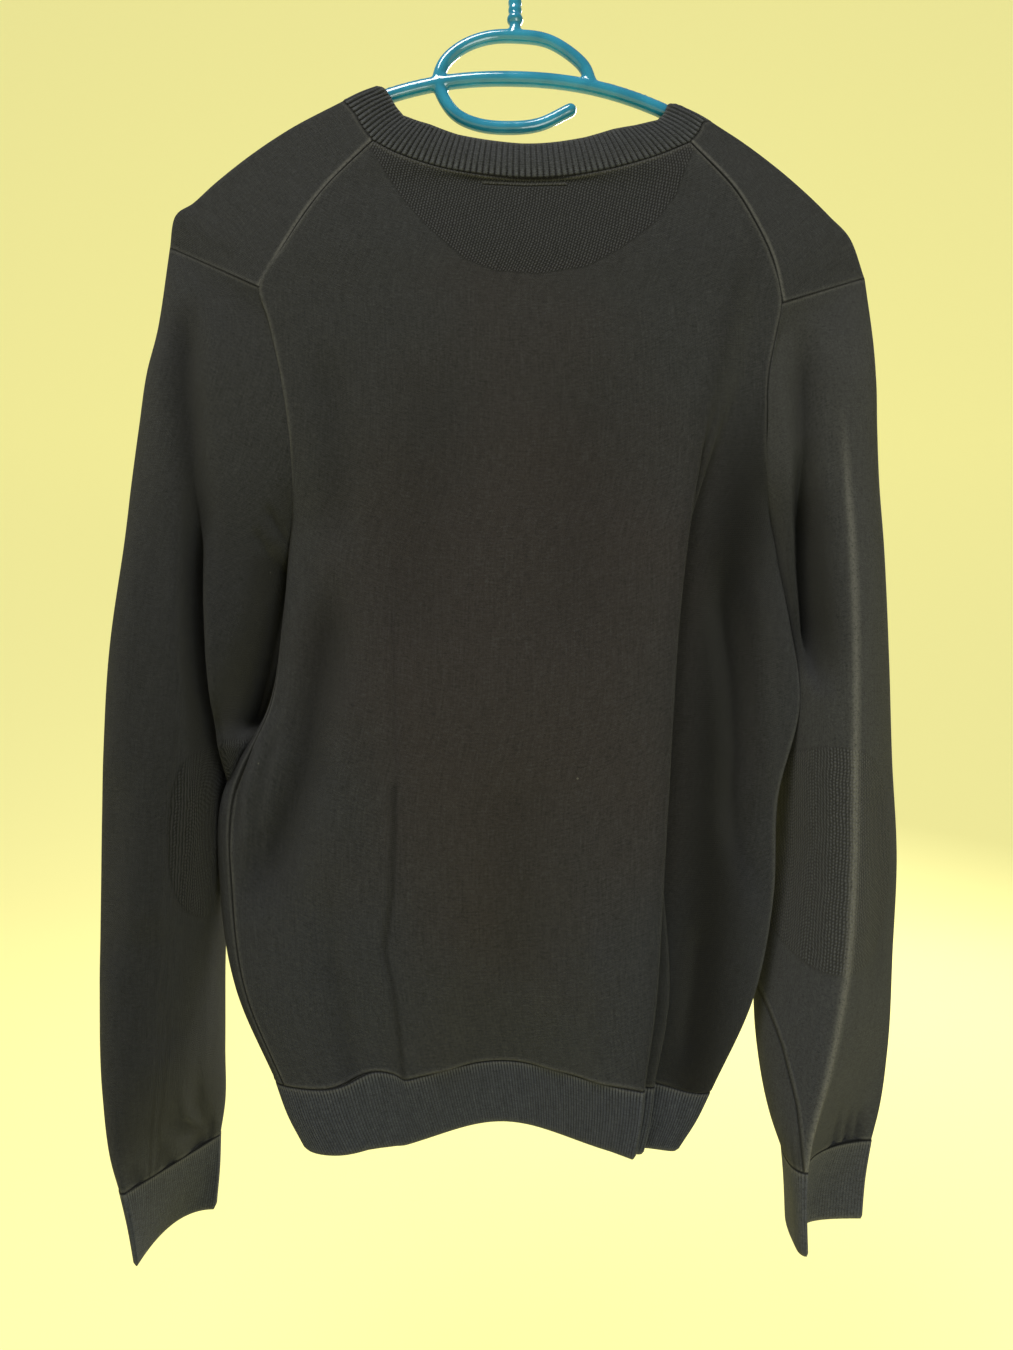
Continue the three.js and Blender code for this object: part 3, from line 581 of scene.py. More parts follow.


# What the material reads at each point, and its plain value: the distances in millimetres to a
# seam, to the edge of a seed-stitch patch and to a drawn line, and how rubbed or how deep in a
# fold the cloth is, from 0 to 1. The rubbing value also carries painted light, and the fold value is painted
# shade.
ATTRIBUTES = {"edge": FAR, "seed": FAR, "line": FAR, "wear": 0, "fold": 0}


class Cloth:
    """One piece of cloth, gathered from grids of points on the middle of the cloth."""

    def __init__(self, name, wall):
        self.name, self.wall = name, wall
        self.points, self.faces, self.uvs, self.values = [], [], [], []
        self.count = 0

    def add(self, grid, uv, flip=False, **values):
        """Adds a grid. values are numbers for each of its points: how far it stands proud
        (lift), its share of the wall's thickness (thin), and the ATTRIBUTES."""
        shape = grid.shape[:2]
        index = np.arange(shape[0] * shape[1]).reshape(shape) + self.count
        corners = [index[:-1, :-1], index[1:, :-1], index[1:, 1:], index[:-1, 1:]]
        faces = np.stack(corners, axis=2).reshape(-1, 4)
        self.faces.append(faces[:, ::-1] if flip else faces)
        self.points.append(grid.reshape(-1, 3))
        self.uvs.append(uv.reshape(-1, 2))
        values = {"lift": 0, "thin": 1, **ATTRIBUTES, **values}
        self.values.append({key: np.broadcast_to(v, shape).reshape(-1) for key, v in values.items()})
        self.count += index.size

    def build(self):
        """Joins the grids where they meet, and makes the cloth's two sides and its rims."""
        points, faces = np.concatenate(self.points), np.concatenate(self.faces)
        corner_uv = np.concatenate(self.uvs)[faces]
        _, first, merged = np.unique(np.round(points, 3), axis=0, return_index=True, return_inverse=True)
        points, faces = points[first], merged.reshape(-1)[faces]
        values = {key: np.concatenate([v[key] for v in self.values])[first] for key in self.values[0]}

        normals = np.zeros_like(points)
        a, b, c, d = (points[faces[:, k]] for k in range(4))
        normal = np.cross(c - a, d - b)
        for k in range(4):
            np.add.at(normals, faces[:, k], normal)
        normals /= np.maximum(np.linalg.norm(normals, axis=1, keepdims=True), 1e-9)

        half = (self.wall / 2 * values["thin"])[:, None] * normals
        outer = points + half + values["lift"][:, None] * normals
        inner = points - half
        count = len(points)
        edges = np.concatenate([faces[:, [k, (k + 1) % 4]] for k in range(4)])
        code = edges[:, 0].astype(np.int64) * count + edges[:, 1]
        back = edges[:, 1].astype(np.int64) * count + edges[:, 0]
        rim = edges[~np.isin(code, back)]
        rims = np.stack([rim[:, 1], rim[:, 0], rim[:, 0] + count, rim[:, 1] + count], axis=1)
        all_faces = np.concatenate([faces, faces[:, ::-1] + count, rims])
        rim_uv = np.zeros((len(rims), 4, 2))
        all_uv = np.concatenate([corner_uv, corner_uv[:, ::-1], rim_uv])

        mesh = bpy.data.meshes.new(self.name)
        mesh.from_pydata((np.concatenate([outer, inner]) * MM).tolist(), [], all_faces.tolist())
        layer = mesh.uv_layers.new(name="knit")
        layer.data.foreach_set("uv", all_uv.reshape(-1).astype(np.float32))
        for key in ATTRIBUTES:
            attribute = mesh.attributes.new(key, "FLOAT", "POINT")
            attribute.data.foreach_set("value", np.tile(values[key], 2).astype(np.float32))
        mesh.validate()
        mesh.shade_smooth()
        return add_object(self.name, mesh)


# ------------------------------------------------------------------ materials


class Field:
    """What a node puts out at each point of a surface. Sums with it add more nodes."""

    def __init__(self, nodes, socket):
        self.nodes, self.socket = nodes, socket

    def __add__(self, other):
        return self.nodes.math("ADD", self, other)

    def __sub__(self, other):
        return self.nodes.math("SUBTRACT", self, other)

    def __rsub__(self, other):
        return self.nodes.math("SUBTRACT", other, self)

    def __mul__(self, other):
        return self.nodes.math("MULTIPLY", self, other)

    def __truediv__(self, other):
        return self.nodes.math("DIVIDE", self, other)

    def __abs__(self):
        return self.nodes.math("ABSOLUTE", self)


class Nodes:
    """Short calls for building a material's node tree."""

    def __init__(self, name):
        self.material = bpy.data.materials.new(name)
        self.material.use_nodes = True
        self.tree = self.material.node_tree
        self.shader = self.tree.nodes["Principled BSDF"]

    def fill(self, node, inputs):
        """Gives a node's inputs their values: plain ones, or what another node puts out."""
        for key, value in inputs.items():
            if isinstance(value, Field):
                self.tree.links.new(value.socket, node.inputs[key])
            else:
                node.inputs[key].default_value = value

    def add(self, kind, outputs, inputs=None, **settings):
        """Adds a node and returns what it puts out: one field, or a list of several."""
        node = self.tree.nodes.new(kind)
        for key, value in settings.items():
            setattr(node, key, value)
        self.fill(node, inputs or {})
        fields = [Field(self, node.outputs[key]) for key in outputs]
        return fields if len(fields) > 1 else fields[0]

    def math(self, operation, *values, clamp=False):
        return self.add("ShaderNodeMath", [0], dict(enumerate(values)), operation=operation, use_clamp=clamp)

    def mix(self, share, a, b):
        """A colour between two colours, or a number between two numbers."""
        is_color = isinstance(a, tuple) or a.socket.type == "RGBA"
        kind, first, output = ("RGBA", 6, 2) if is_color else ("FLOAT", 2, 0)
        return self.add("ShaderNodeMix", [output], {0: share, first: a, first + 1: b}, data_type=kind)

    def value(self, name):
        return self.add("ShaderNodeAttribute", ["Fac"], attribute_name=name)

    def noise(self, vector, scale, detail=2.0, roughness=0.5):
        return self.add("ShaderNodeTexNoise", ["Fac"], {
            "Vector": vector, "Scale": scale, "Detail": detail, "Roughness": roughness})

    def between(self, value, low, high):
        """0 where value is at low, 1 where it is at high, and smooth between."""
        return self.add("ShaderNodeMapRange", ["Result"], {
            "Value": value, "From Min": low, "From Max": high}, interpolation_type="SMOOTHSTEP")

    def stretched(self, vector, scale, shift=(0, 0, 0)):
        return self.add("ShaderNodeMapping", ["Vector"], {
            "Vector": vector, "Scale": scale, "Location": shift}, vector_type="POINT")

    def bump(self, height, strength):
        """Shades the surface as if it stood height millimetres proud."""
        normal = self.add("ShaderNodeBump", ["Normal"], {
            "Height": height, "Strength": strength, "Distance": MM})
        self.fill(self.shader, {"Normal": normal})


SEED_WALE, SEED_COURSE = 1.87, 2.05  # millimetres
SEED_HEIGHT = 1.8  # times the height of plain knit
FUZZ_HEIGHT, LINE_HEIGHT = 0.3, 0.7  # millimetres
KNIT_COLOR = (0.0258, 0.0266, 0.0275)
RIB_COLOR = (0.039, 0.0415, 0.0455)
WORN_AND_LIT_COLOR = (0.115, 0.113, 0.1, 1)
SEAM_AND_SHADE_COLOR = (0.004, 0.004, 0.0038, 1)
LINT_COLOR = (0.2, 0.19, 0.16, 1)
BROWN_MIDDLE, BROWN_WIDTH, BROWN_HEIGHT = -0.5, 0.15, 0.26  # metres, on the back
COOL_FROM, COOL_TO = -0.5, -0.75  # metres: the heights between which the grey turns cooler


def zigzag(n, turns):
    """1 at each whole number of turns, and 0 halfway between them."""
    return abs(n.math("FRACT", turns) * 2.0 - 1.0)


def stitches(n, u, v, wale, course):
    """The height of plain knit: columns of V shapes, wale wide and course high."""
    across = zigzag(n, u / wale)
    turns = v / course + across * 0.7
    return n.math("SINE", turns * (2 * math.pi)) * 0.28 + n.math("SINE", across * math.pi) * 0.7


def seed_stitches(n, u, v):
    """The height of seed stitch: columns of single bumps, alternating from column to column."""
    column = u / SEED_WALE
    ridge = abs(n.math("SINE", column * math.pi))
    shift = n.math("PINGPONG", n.math("FLOOR", column), 1.0) * 0.5
    bump = n.math("SINE", (v / SEED_COURSE + shift) * (2 * math.pi)) * 0.5 + 0.5
    return ridge * (bump * 0.5 + 0.5) * SEED_HEIGHT


def tinted(color, red=1.0, green=1.0, blue=1.0):
    return (color[0] * red, color[1] * green, color[2] * blue, 1)


def knit_material(name, color, wale, course, depth, ribbed=False):
    """Knit with stitches that are wale wide, course high and about depth millimetres proud."""
    n = Nodes(name)
    uv = n.add("ShaderNodeUVMap", ["UV"], uv_map="knit")
    u, v = n.add("ShaderNodeSeparateXYZ", ["X", "Y"], {0: uv})
    place = n.add("ShaderNodeTexCoord", ["Object"])
    seed_edge, seam_edge, line = n.value("seed"), n.value("edge"), n.value("line")

    # The stitches wander a little, so that their rows aren't ruled lines.
    wander = (n.noise(place, 60) - 0.5) * (wale * 1.6) + (n.noise(place, 400) - 0.5) * (wale * 0.8)
    v = v + wander
    if ribbed:
        height = stitches(n, u, v, wale, course)
    else:
        u = u + wander
        seed = n.between(seed_edge, 0.6, -0.6)
        height = n.mix(seed, stitches(n, u, v, wale, course), seed_stitches(n, u, v))

    # A drawn seam line is a raised rope beside a groove.
    rope = 1.0 - n.between(abs(line - 1.5), 0.2, 1.5)
    groove = 1.0 - n.between(abs(line), 0.1, 0.9)
    fuzz = n.noise(place, 2200, 3, 0.7)
    n.bump(height * depth + fuzz * FUZZ_HEIGHT + (rope - groove) * LINE_HEIGHT, 1.0)

    # Browner in the middle of the back, and cooler towards the hem.
    from_middle = n.stretched(place, (1 / BROWN_WIDTH, 0, 1 / BROWN_HEIGHT),
                              (0, 0, -BROWN_MIDDLE / BROWN_HEIGHT))
    away = n.add("ShaderNodeVectorMath", ["Value"], {0: from_middle}, operation="LENGTH")
    brown_share = n.between(away + (n.noise(place, 9) - 0.5) * 0.9, 1.15, 0.3)
    up = n.add("ShaderNodeSeparateXYZ", ["Z"], {0: place})
    tone = n.mix(n.between(up, COOL_FROM, COOL_TO), tinted(color), tinted(color, 0.96, 1.0, 1.16))
    tone = n.mix(brown_share, tone, tinted(color, 1.12, 0.9, 0.82))

    # Heathered yarn: fine mottling, and streaks along the courses and down the wales.
    light, dark = tinted(color, 2.1, 2.1, 2.1), tinted(color, 0.35, 0.35, 0.35)
    heather = n.noise(place, 700, 3, 0.75)
    courses = n.noise(n.stretched(uv, (0.16, 0.9, 1)), 1.0, 2, 0.6)
    wales = n.noise(n.stretched(uv, (0.8, 0.05, 1)), 1.0, 1, 0.5)
    mottle = heather * 0.5 + courses * 0.3 + wales * 0.2
    tone = n.mix(n.between(mottle, 0.48, 0.68) * 0.55, tone, light)
    tone = n.mix(n.between(mottle, 0.52, 0.34) * 0.7, tone, dark)

    # Painted shade down between the stitches, and the edge of a seed-stitch patch shows faintly.
    tone = n.mix(n.between(height, 0.3, -0.2) * 0.4, tone, dark)
    if ribbed:
        # A painted highlight on the ribs near the seam, and painted shade in the grooves between ribs,
        # deepest near the seam.
        groove_of_rib = zigzag(n, u / wale)
        teeth = n.between(seam_edge, 8, 2)
        tone = n.mix(n.between(groove_of_rib, 0.6, 0.1) * (teeth * 0.45), tone, light)
        tone = n.mix(n.between(groove_of_rib, 0.5, 0.95) * (teeth * 0.3 + 0.6), tone, SEAM_AND_SHADE_COLOR)
    else:
        # Painted shade in the pits of seed stitch, and a painted highlight on its bumps.
        pit = n.between(height, 1.25, 0.45) * seed
        top = n.between(height, 1.1, 1.6) * (seed * 0.6)
        tone = n.mix(top, n.mix(pit, tone, dark), light)
        outline = 1.0 - n.between(abs(seed_edge), 0.2, 1.2)
        tone = n.mix(outline * 0.25, tone, dark)

    # Paler where the cloth has rubbed and where light is painted on, dark in each seam, and painted shade
    # deep in the folds.
    # The rubbing value also carries painted light, and each seam line's rope gets a painted highlight.
    rubbed_and_lit = n.math("MAXIMUM", n.value("wear"), rope * 0.35)
    rubbed_and_lit = n.math("MULTIPLY", rubbed_and_lit, n.between(heather, 0.15, 0.6), clamp=True)
    tone = n.mix(rubbed_and_lit, tone, WORN_AND_LIT_COLOR)
    shut = 1.0 - n.between(seam_edge, 0.2, 1.1)
    tone = n.mix(n.math("MAXIMUM", shut, groove) * 0.85, tone, SEAM_AND_SHADE_COLOR)
    # Painted shade deep in the folds, from the fold value.
    tone = n.mix(n.math("MULTIPLY", n.value("fold"), 0.85, clamp=True), tone, SEAM_AND_SHADE_COLOR)

    # Lint: rare pale specks.
    distance, chance = n.add("ShaderNodeTexVoronoi", ["Distance", "Color"], {
        "Vector": place, "Scale": 26}, feature="F1")
    rare = n.math("GREATER_THAN", n.add("ShaderNodeSeparateColor", [0], {0: chance}), 0.8)
    tone = n.mix(n.math("LESS_THAN", distance, 0.02) * rare * 0.4, tone, LINT_COLOR)
    n.fill(n.shader, {"Base Color": tone, "Roughness": 0.95, "Specular IOR Level": 0.15,
                      "Sheen Weight": 0.12, "Sheen Roughness": 0.5, "Sheen Tint": (0.5, 0.5, 0.47, 1)})
    return n.material


def plastic_material():
    n = Nodes("blue_plastic")
    place = n.add("ShaderNodeTexCoord", ["Object"])
    cloud = n.between(n.noise(place, 60, 3), 0.3, 0.7)
    scuffs = n.noise(place, 700, 4, 0.7)
    n.bump(n.noise(place, 180), 0.15)
    n.fill(n.shader, {"Base Color": n.mix(cloud, (0.012, 0.18, 0.30, 1), (0.02, 0.235, 0.38, 1)),
                      "Roughness": scuffs * 0.1 + 0.06, "Coat Weight": 0.7, "Coat Roughness": 0.05,
                      "Subsurface Weight": 0.1, "Subsurface Scale": 0.004,
                      "Subsurface Radius": (0.3, 0.8, 1.0)})
    return n.material


HEM_PITCH, NECK_PITCH = 1.9, 3.95  # from one rib to the next
knit = knit_material("fine_knit", KNIT_COLOR, 1.4, 1.15, 0.4)
rib_knit = knit_material("fine_rib", RIB_COLOR, HEM_PITCH, 1.4, 0.3, ribbed=True)
neck_knit = knit_material("neck_rib_knit", RIB_COLOR, NECK_PITCH, 1.6, 0.4, ribbed=True)
blue_plastic = plastic_material()

# ------------------------------------------------------------------ the sweater's pieces


def finish_piece(piece, material, node):
    piece.data.materials.append(material)
    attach(piece, "root")
    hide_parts(node)


# Lines that are drawn on the back in the shader: points [x, z].
NECK_LINE = [(-22, -199.5), (6, -201), (34, -200.5)]
# The yoke: a half-moon of seed stitch under the neck.
YOKE = [
    (-97, -168), (-84, -190), (-71, -211), (-56, -229), (-33, -251), (-12, -259), (14, -261),
    (46, -256), (67, -244), (88, -227), (103, -207), (109, -190), (118, -168),
]


def drawn_line(grid, line):
    """Signed distance to a seam line that the material draws, and far away past its ends."""
    distance, share = line_distance(grid, line)
    return np.where((share > 0.001) & (share < 0.999), distance, FAR)


def yoke_distance(grid):
    distance, _ = line_distance(grid, YOKE)
    above = grid[..., 2] > np.interp(grid[..., 0], *np.array(YOKE).T)
    return np.where(above, -np.abs(distance), np.abs(distance))


FINE_CREASE = [(-78, -440), (-75, -580), (-76, -640), (-81, -680), (-76, -705), (-73, -730), (-70, -765)]
BACK_CREASES = [
    ([(-112, -440), (-118, -500), (-128, -570), (-143, -612), (-166, -668)], 14, 9),
    ([(-98, -500), (-110, -590), (-120, -660)], 16, -3),
    # The trough beside the pleat, and the ridge beyond it.
    ([(132, -425), (131, -470), (137, -520), (139, -560), (137, -590), (139, -618), (146, -645),
      (152, -665)], 10, 10),
    ([(148, -440), (152, -500), (156, -560), (152, -600)], 7, -2.5),
    ([(116, -660), (112, -700), (104, -760)], 8, 4),
    (FINE_CREASE, 7, 2.2, (0.25, 0.25), "step"),
    # Long soft folds of the hanging cloth.
    ([(-40, -300), (-60, -420), (-70, -520)], 26, 2.5),
    ([(50, -300), (40, -420), (30, -520)], 30, 2),
    ([(-120, -300), (-110, -380), (-112, -440)], 12, 3),
    ([(-2, -560), (0, -640), (2, -720)], 18, 2),
    # The left side folds over on itself as it comes out from behind the sleeve.
    ([(-156, -530), (-165, -552), (-172, -585), (-175, -625)], 2.6, 3),
    ([(-150, -534), (-159, -556), (-166, -590), (-168, -640)], 3, -2),
    ([(-143, -540), (-152, -562), (-159, -600), (-160, -650)], 4, 2.2),
    # Waves above the hem.
    ([(-45, -640), (-42, -700), (-44, -765)], 10, -3, (0.5, 0.01)),
    ([(18, -660), (24, -710), (22, -765)], 12, -3, (0.5, 0.01)),
    ([(-118, -640), (-108, -700), (-98, -765)], 9, 3, (0.5, 0.01)),
    ([(44, -640), (50, -700), (50, -765)], 9, -3, (0.5, 0.01)),
]

# The pleat's edge, where the cloth beyond it lies deep in the fold and gets painted shade.
PLEAT_SHADE = [
    (158, -190), (147, -240), (134, -280), (118, -352), (105, -432), (99, -480), (95, -530), (91, -590),
    (87, -650), (83, -710), (76, -765),
]

SHADE_START, SHADE_FULL = -190, -300  # heights at which the painted shade beside the pleat's edge sets in
HOLLOW_START, HOLLOW_FULL = -300, -430  # and the painted shade in the hollow beyond the pleat


def back_shade(grid):
    """How dark the painted shade is beside the pleat, in the hollow beyond it and along the fine crease."""
    beyond, _ = line_distance(grid, PLEAT_SHADE)
    shelf = 0.55 * smooth_step(-0.5, 3, beyond) * smooth_step(70, 30, beyond)
    hollow = np.maximum(shelf, 1.15 * bell(beyond - 33, 25) * (beyond > 0))
    hollow *= smooth_step(HOLLOW_START, HOLLOW_FULL, grid[..., 2])
    edge = 0.4 * bell(beyond - 3, 7) * smooth_step(SHADE_START, SHADE_FULL, grid[..., 2])
    fine = 0.7 * bell(drawn_line(grid, FINE_CREASE[1:]) - 1, 1.8)
    return np.max([hollow, edge, fine], axis=0)


back = back_grid()
# Painted shade from the creases and beside the pleat.
creases = np.max([crease(back, *fold) for fold in BACK_CREASES], axis=0)
back_painted_shade = np.maximum(creases, back_shade(back))
back_edge = edge_distance(back, "lrtb")
back_cloth = Cloth("sweater_back", KNIT_WALL)
back_cloth.add(back, knit_uv(back, LEAD_COLUMNS // 2), lift=seam_lift(back_edge, 0.25), edge=back_edge,
               seed=yoke_distance(back), line=drawn_line(back, NECK_LINE), fold=back_painted_shade,
               wear=seam_wear(back_edge, 0.35))
finish_piece(back_cloth.build(), knit, "back_panel")

SEAM_STITCH = 2.4
straps = {name: strap_grid(side) for name, side in SIDES.items()}
front_cloth = Cloth("sweater_front", KNIT_WALL)
for name, strap in straps.items():
    seam = edge_distance(strap, "l")
    others = edge_distance(strap, "tb")
    twist = 0.86 + 0.14 * np.sin(along(strap[:, 0])[:, None] * 2 * math.pi / SEAM_STITCH)
    rope = seam_lift(seam, 1.1, 1.7, 1.2) * twist
    uv = knit_uv(strap, STRAP_COLUMNS // 2)[..., ::-1]
    wear = seam_wear(seam, 0.8, 1.7) + seam_wear(others, 0.25, width=1)
    front_cloth.add(strap, uv, lift=rope + seam_lift(others, 0.3), flip=name == "right",
                    edge=np.minimum(seam, others), wear=wear)
top_row = np.concatenate([straps["right"][::-1, -1], straps["left"][1:, -1]])
front_columns = len(top_row)
front_rows = [top_row] + [front_level(n, front_columns) for n in range(CAP_LEVEL + 2, HEM_LEVEL + 1)]
front = loft(front_rows, FRONT_ROWS, 0, FINE_COLUMNS)
front_edge = edge_distance(front, "lrb")
front_cloth.add(front, knit_uv(front, front_columns // 2), lift=seam_lift(front_edge, 0.25),
                edge=front_edge, wear=seam_wear(front_edge, 0.3))
finish_piece(front_cloth.build(), knit, "front_panel")


def elbow_distance(grid, centre, half_width, half_height):
    """Signed distance to the oval elbow patch on the back of a sleeve; below 0 inside."""
    dx = np.abs(grid[..., 0] - centre[0]) / half_width
    dz = np.abs(grid[..., 2] - centre[1]) / half_height
    distance = ((dx**2.5 + dz**2.5) ** 0.4 - 1) * half_width
    return np.where(grid[..., 1] < 0, distance, FAR)


LEFT_SLEEVE_CREASES = [
    # The deep crease down the back, and the gap where the sleeve goes behind the body.
    ([(-211, -262), (-209, -330), (-204, -375), (-198, -420), (-194, -460)], 10, 9),
    ([(-207, -375), (-204, -396), (-202, -426), (-199, -469), (-195, -512), (-190, -555), (-186, -586),
      (-184, -625), (-184, -660)], 4.6, 0.92, (0.3, 0.1), "gap"),
    ([(-146, -428), (-149, -452), (-155, -480), (-161, -508), (-168, -535), (-175, -560)], 9, 0.95,
     (0.15, 0.15), "gap"),
    # Small wrinkles where the sleeve is caught at the underarm.
    ([(-158, -405), (-150, -424), (-143, -436)], 3, 3.5),
    ([(-166, -420), (-156, -440), (-149, -452)], 3, 3),
    # Gathers above the cuff.
    ([(-209, -768), (-210, -790), (-204, -806), (-206, -819)], 3, 6, (0.5, 0.01)),
    ([(-199, -755), (-202, -785), (-200, -806), (-200, -819)], 2.6, 5, (0.5, 0.01)),
    ([(-204, -760), (-206, -785), (-203, -812)], 2.4, -2.5, (0.5, 0.05)),
    ([(-229, -796), (-228, -810), (-227, -819)], 2.2, 3, (0.7, 0.01)),
    ([(-218, -788), (-217, -806), (-216, -819)], 2.4, 4, (0.6, 0.01)),
    ([(-236, -560), (-238, -640), (-237, -700)], 10, 3),
    ([(-214, -650), (-214, -705), (-208, -750)], 11, 4),
]
RIGHT_SLEEVE_CREASES = [
    ([(184, -285), (183, -330), (183, -380), (184, -430), (185, -480)], 9, 8),
    ([(184, -360), (184, -400), (185, -445), (187, -480), (189, -530)], 6, 0.9, (0.35, 0.3), "gap"),
    ([(198, -772), (199, -790), (199, -808)], 2.4, 3.5, (0.7, 0.01)),
    ([(207, -776), (208, -792), (208, -808)], 2.4, 4, (0.7, 0.01)),
    ([(216, -776), (216, -792), (215, -808)], 2.2, 3.5, (0.7, 0.01)),
    ([(222, -560), (226, -640), (222, -720)], 10, 2.5),
]
# The underarm seam of the right sleeve, where it turns onto the back.
RIGHT_SLEEVE_SEAM = [(149, -680), (155, -709), (163, -740), (168, -770), (170.5, -808)]

# What each sleeve is made from. Its elbow patch is the middle and half size of an oval.
sleeve_parts = {
    "left": (LEFT_SLEEVE_TOP, LEFT_SLEEVE, LEFT_SLEEVE_CREASES, ((-180, -611), 26, 57)),
    "right": (RIGHT_SLEEVE_TOP, RIGHT_SLEEVE, RIGHT_SLEEVE_CREASES, ((195, -625), 39, 68)),
}


def pressed_ridge(grid):
    """1 on the fold that is pressed into the back of the right sleeve, and 0 away from it."""
    crest = grid[:, QUARTERS[0]:QUARTERS[0] + 1]
    strength = smooth_step(-330, -420, crest[..., 2])
    return strength * bell(np.linalg.norm(grid - crest, axis=2), 2.4)


for name, (tops, levels, creases, elbow) in sleeve_parts.items():
    side = SIDES[name]
    grid = sleeve_grid(cap_row(straps[name]), side["edge"], side["front"], tops, levels)
    # The creases press the cloth in, and give the painted shade deep in them.
    fold = np.max([crease(grid, *line) for line in creases], axis=0)
    distance = edge_distance(grid, "tb")
    wear = seam_wear(distance, 0.35)
    seam_line = FAR
    if name == "left":
        # Its lower part gets painted shade, as it hangs close beside the body.
        z = grid[..., 2]
        fold = np.maximum(fold, 0.42 * smooth_step(-330, -520, z) * smooth_step(-810, -780, z))
    else:
        seam_line = np.where(grid[..., 1] < 0, drawn_line(grid, RIGHT_SLEEVE_SEAM), FAR)
        # Painted light makes this whole sleeve paler, and its pressed ridge gets a painted highlight as well
        # as wear.
        wear += 0.12 + 0.8 * pressed_ridge(grid)
    cloth = Cloth(f"sweater_sleeve_{name}", KNIT_WALL)
    cloth.add(grid, knit_uv(grid, QUARTERS[0]), lift=seam_lift(distance, 0.4), flip=name == "right",
              edge=distance, seed=elbow_distance(grid, *elbow), line=seam_line, wear=wear, fold=fold)
    finish_piece(cloth.build(), knit, f"sleeve_{name}")

# ------------------------------------------------------------------ the ribbed bands


def rib_lift(columns, per_rib, height):
    """Ridges with narrow grooves between them, per_rib columns to a ridge."""
    ridge = np.abs(np.cos(math.pi * (np.arange(columns) / per_rib))) ** 0.7
    return (ridge - 1) * height


def rib_uv(grid, pitch, per_rib):
    uv = knit_uv(grid, 0)
    uv[..., 0] = (np.arange(grid.shape[1]) / per_rib + 0.5) * pitch
    return uv


def free_edge_thin(distance, radius):
    """Thins a band's wall towards its free edge, so that the edge is round."""
    t = np.clip(1 - distance / radius, 0, 1)
    return np.sqrt(np.maximum(1 - t * t, 0.04))


NECK_PER_RIB, PER_RIB = 6, 4  # columns of points to a rib
NECK_RIB_DEPTH, HEM_RIB_DEPTH = 1.5, 0.7
# On the back, for each distance from the middle: the height on the middle line that the ribs
# point at, and how tall the band is.
NECK_MIDDLE = 4
NECK_AIM = [(0, 40, 24), (47, -7, 25), (72, -50, 27), (90, -73, 27), (118, -84, 26)]
FRONT_AIM = -40
NECK_LEAN = 4
NECK_ROWS = 18

neck_line = np.concatenate([
    smooth_line(BACK_NECK, 300)[:-1],
    straps["right"][0][:-1],
    straps["left"][0][::-1],
])
neck_ribs = round(along(neck_line)[-1] / NECK_PITCH)
neck_seam = evenly(neck_line, neck_ribs * NECK_PER_RIB + 1)
rise = np.linspace(1, 0, NECK_ROWS)[:, None]
apart = np.abs(neck_seam[:, 0] - NECK_MIDDLE)
aim_at, aim_z, aim_height = np.array(NECK_AIM).T
aim = np.interp(apart, aim_at, aim_z)
aim += (FRONT_AIM - aim) * np.clip(neck_seam[:, 1] / 12, 0, 1)
lean = np.stack([NECK_MIDDLE - neck_seam[:, 0], np.zeros(len(neck_seam)), aim - neck_seam[:, 2]], axis=1)
lean /= np.linalg.norm(lean, axis=1, keepdims=True)
neck_grid = neck_seam[None] + lean[None] * (np.interp(apart, aim_at, aim_height) * rise)[..., None]
neck_grid[..., 1] -= np.clip(neck_seam[:, 1] / 12, -1, 0)[None] * NECK_LEAN * rise**1.5
neck_grid[..., 1] -= 1.2 * np.sin(math.pi * rise) * np.sign(-neck_seam[:, 1])[None]


def rest_on_bar(grid, rest):
    """Moves points of the cloth out from the bar until they rest on it."""
    flat = grid.reshape(-1, 3)
    gap = np.linalg.norm(flat[:, None] - BAR[None, ::2], axis=2)
    nearest = BAR[::2][gap.argmin(axis=1)]
    away = flat - nearest
    size = np.linalg.norm(away, axis=1, keepdims=True)
    return np.where(size < rest, nearest + away / np.maximum(size, 1e-6) * rest, flat).reshape(grid.shape)


neck_grid = rest_on_bar(neck_grid, BAR_RADIUS + RIB_WALL / 2 + 0.6)
neck_top = edge_distance(neck_grid, "t")
neck_low = edge_distance(neck_grid, "b")
neck_fade = smooth_step(0.4, 2.2, neck_low) * smooth_step(0, 1.2, neck_top)
neck_lift = rib_lift(neck_grid.shape[1], NECK_PER_RIB, NECK_RIB_DEPTH) * neck_fade
neck_lift -= 0.6 * bell(neck_low, 0.6)
neck_cloth = Cloth("sweater_neck_rib", RIB_WALL)
neck_cloth.add(neck_grid, rib_uv(neck_grid, NECK_PITCH, NECK_PER_RIB), lift=neck_lift,
               thin=free_edge_thin(neck_top, 1.2), edge=neck_low, wear=0.3 * bell(neck_top, 2))
finish_piece(neck_cloth.build(), neck_knit, "neck_rib")

BAND_ROWS = 18


def band(node, rows):
    """A ribbed band down through rows of points that close on themselves."""
    right = node.endswith("right")
    grid = loft(rows, BAND_ROWS, 5, 2)
    top, low = edge_distance(grid, "t"), edge_distance(grid, "b")
    fade = smooth_step(0.3, 1.6, top) * smooth_step(0, 1.0, low)
    lift = rib_lift(grid.shape[1], PER_RIB, HEM_RIB_DEPTH) * fade - 0.5 * bell(top, 0.6)
    # The right cuff is made paler by painted light.
    wear = 0.35 * bell(low, 2) + seam_wear(top, 0.3, 1.6, 1) + (0.15 if right else 0)
    cloth = Cloth(f"sweater_{node}", RIB_WALL)
    cloth.add(grid, rib_uv(grid, HEM_PITCH, PER_RIB), lift=lift, thin=free_edge_thin(low, 1.1),
              edge=top, wear=wear, flip=right)
    finish_piece(cloth.build(), rib_knit, node)


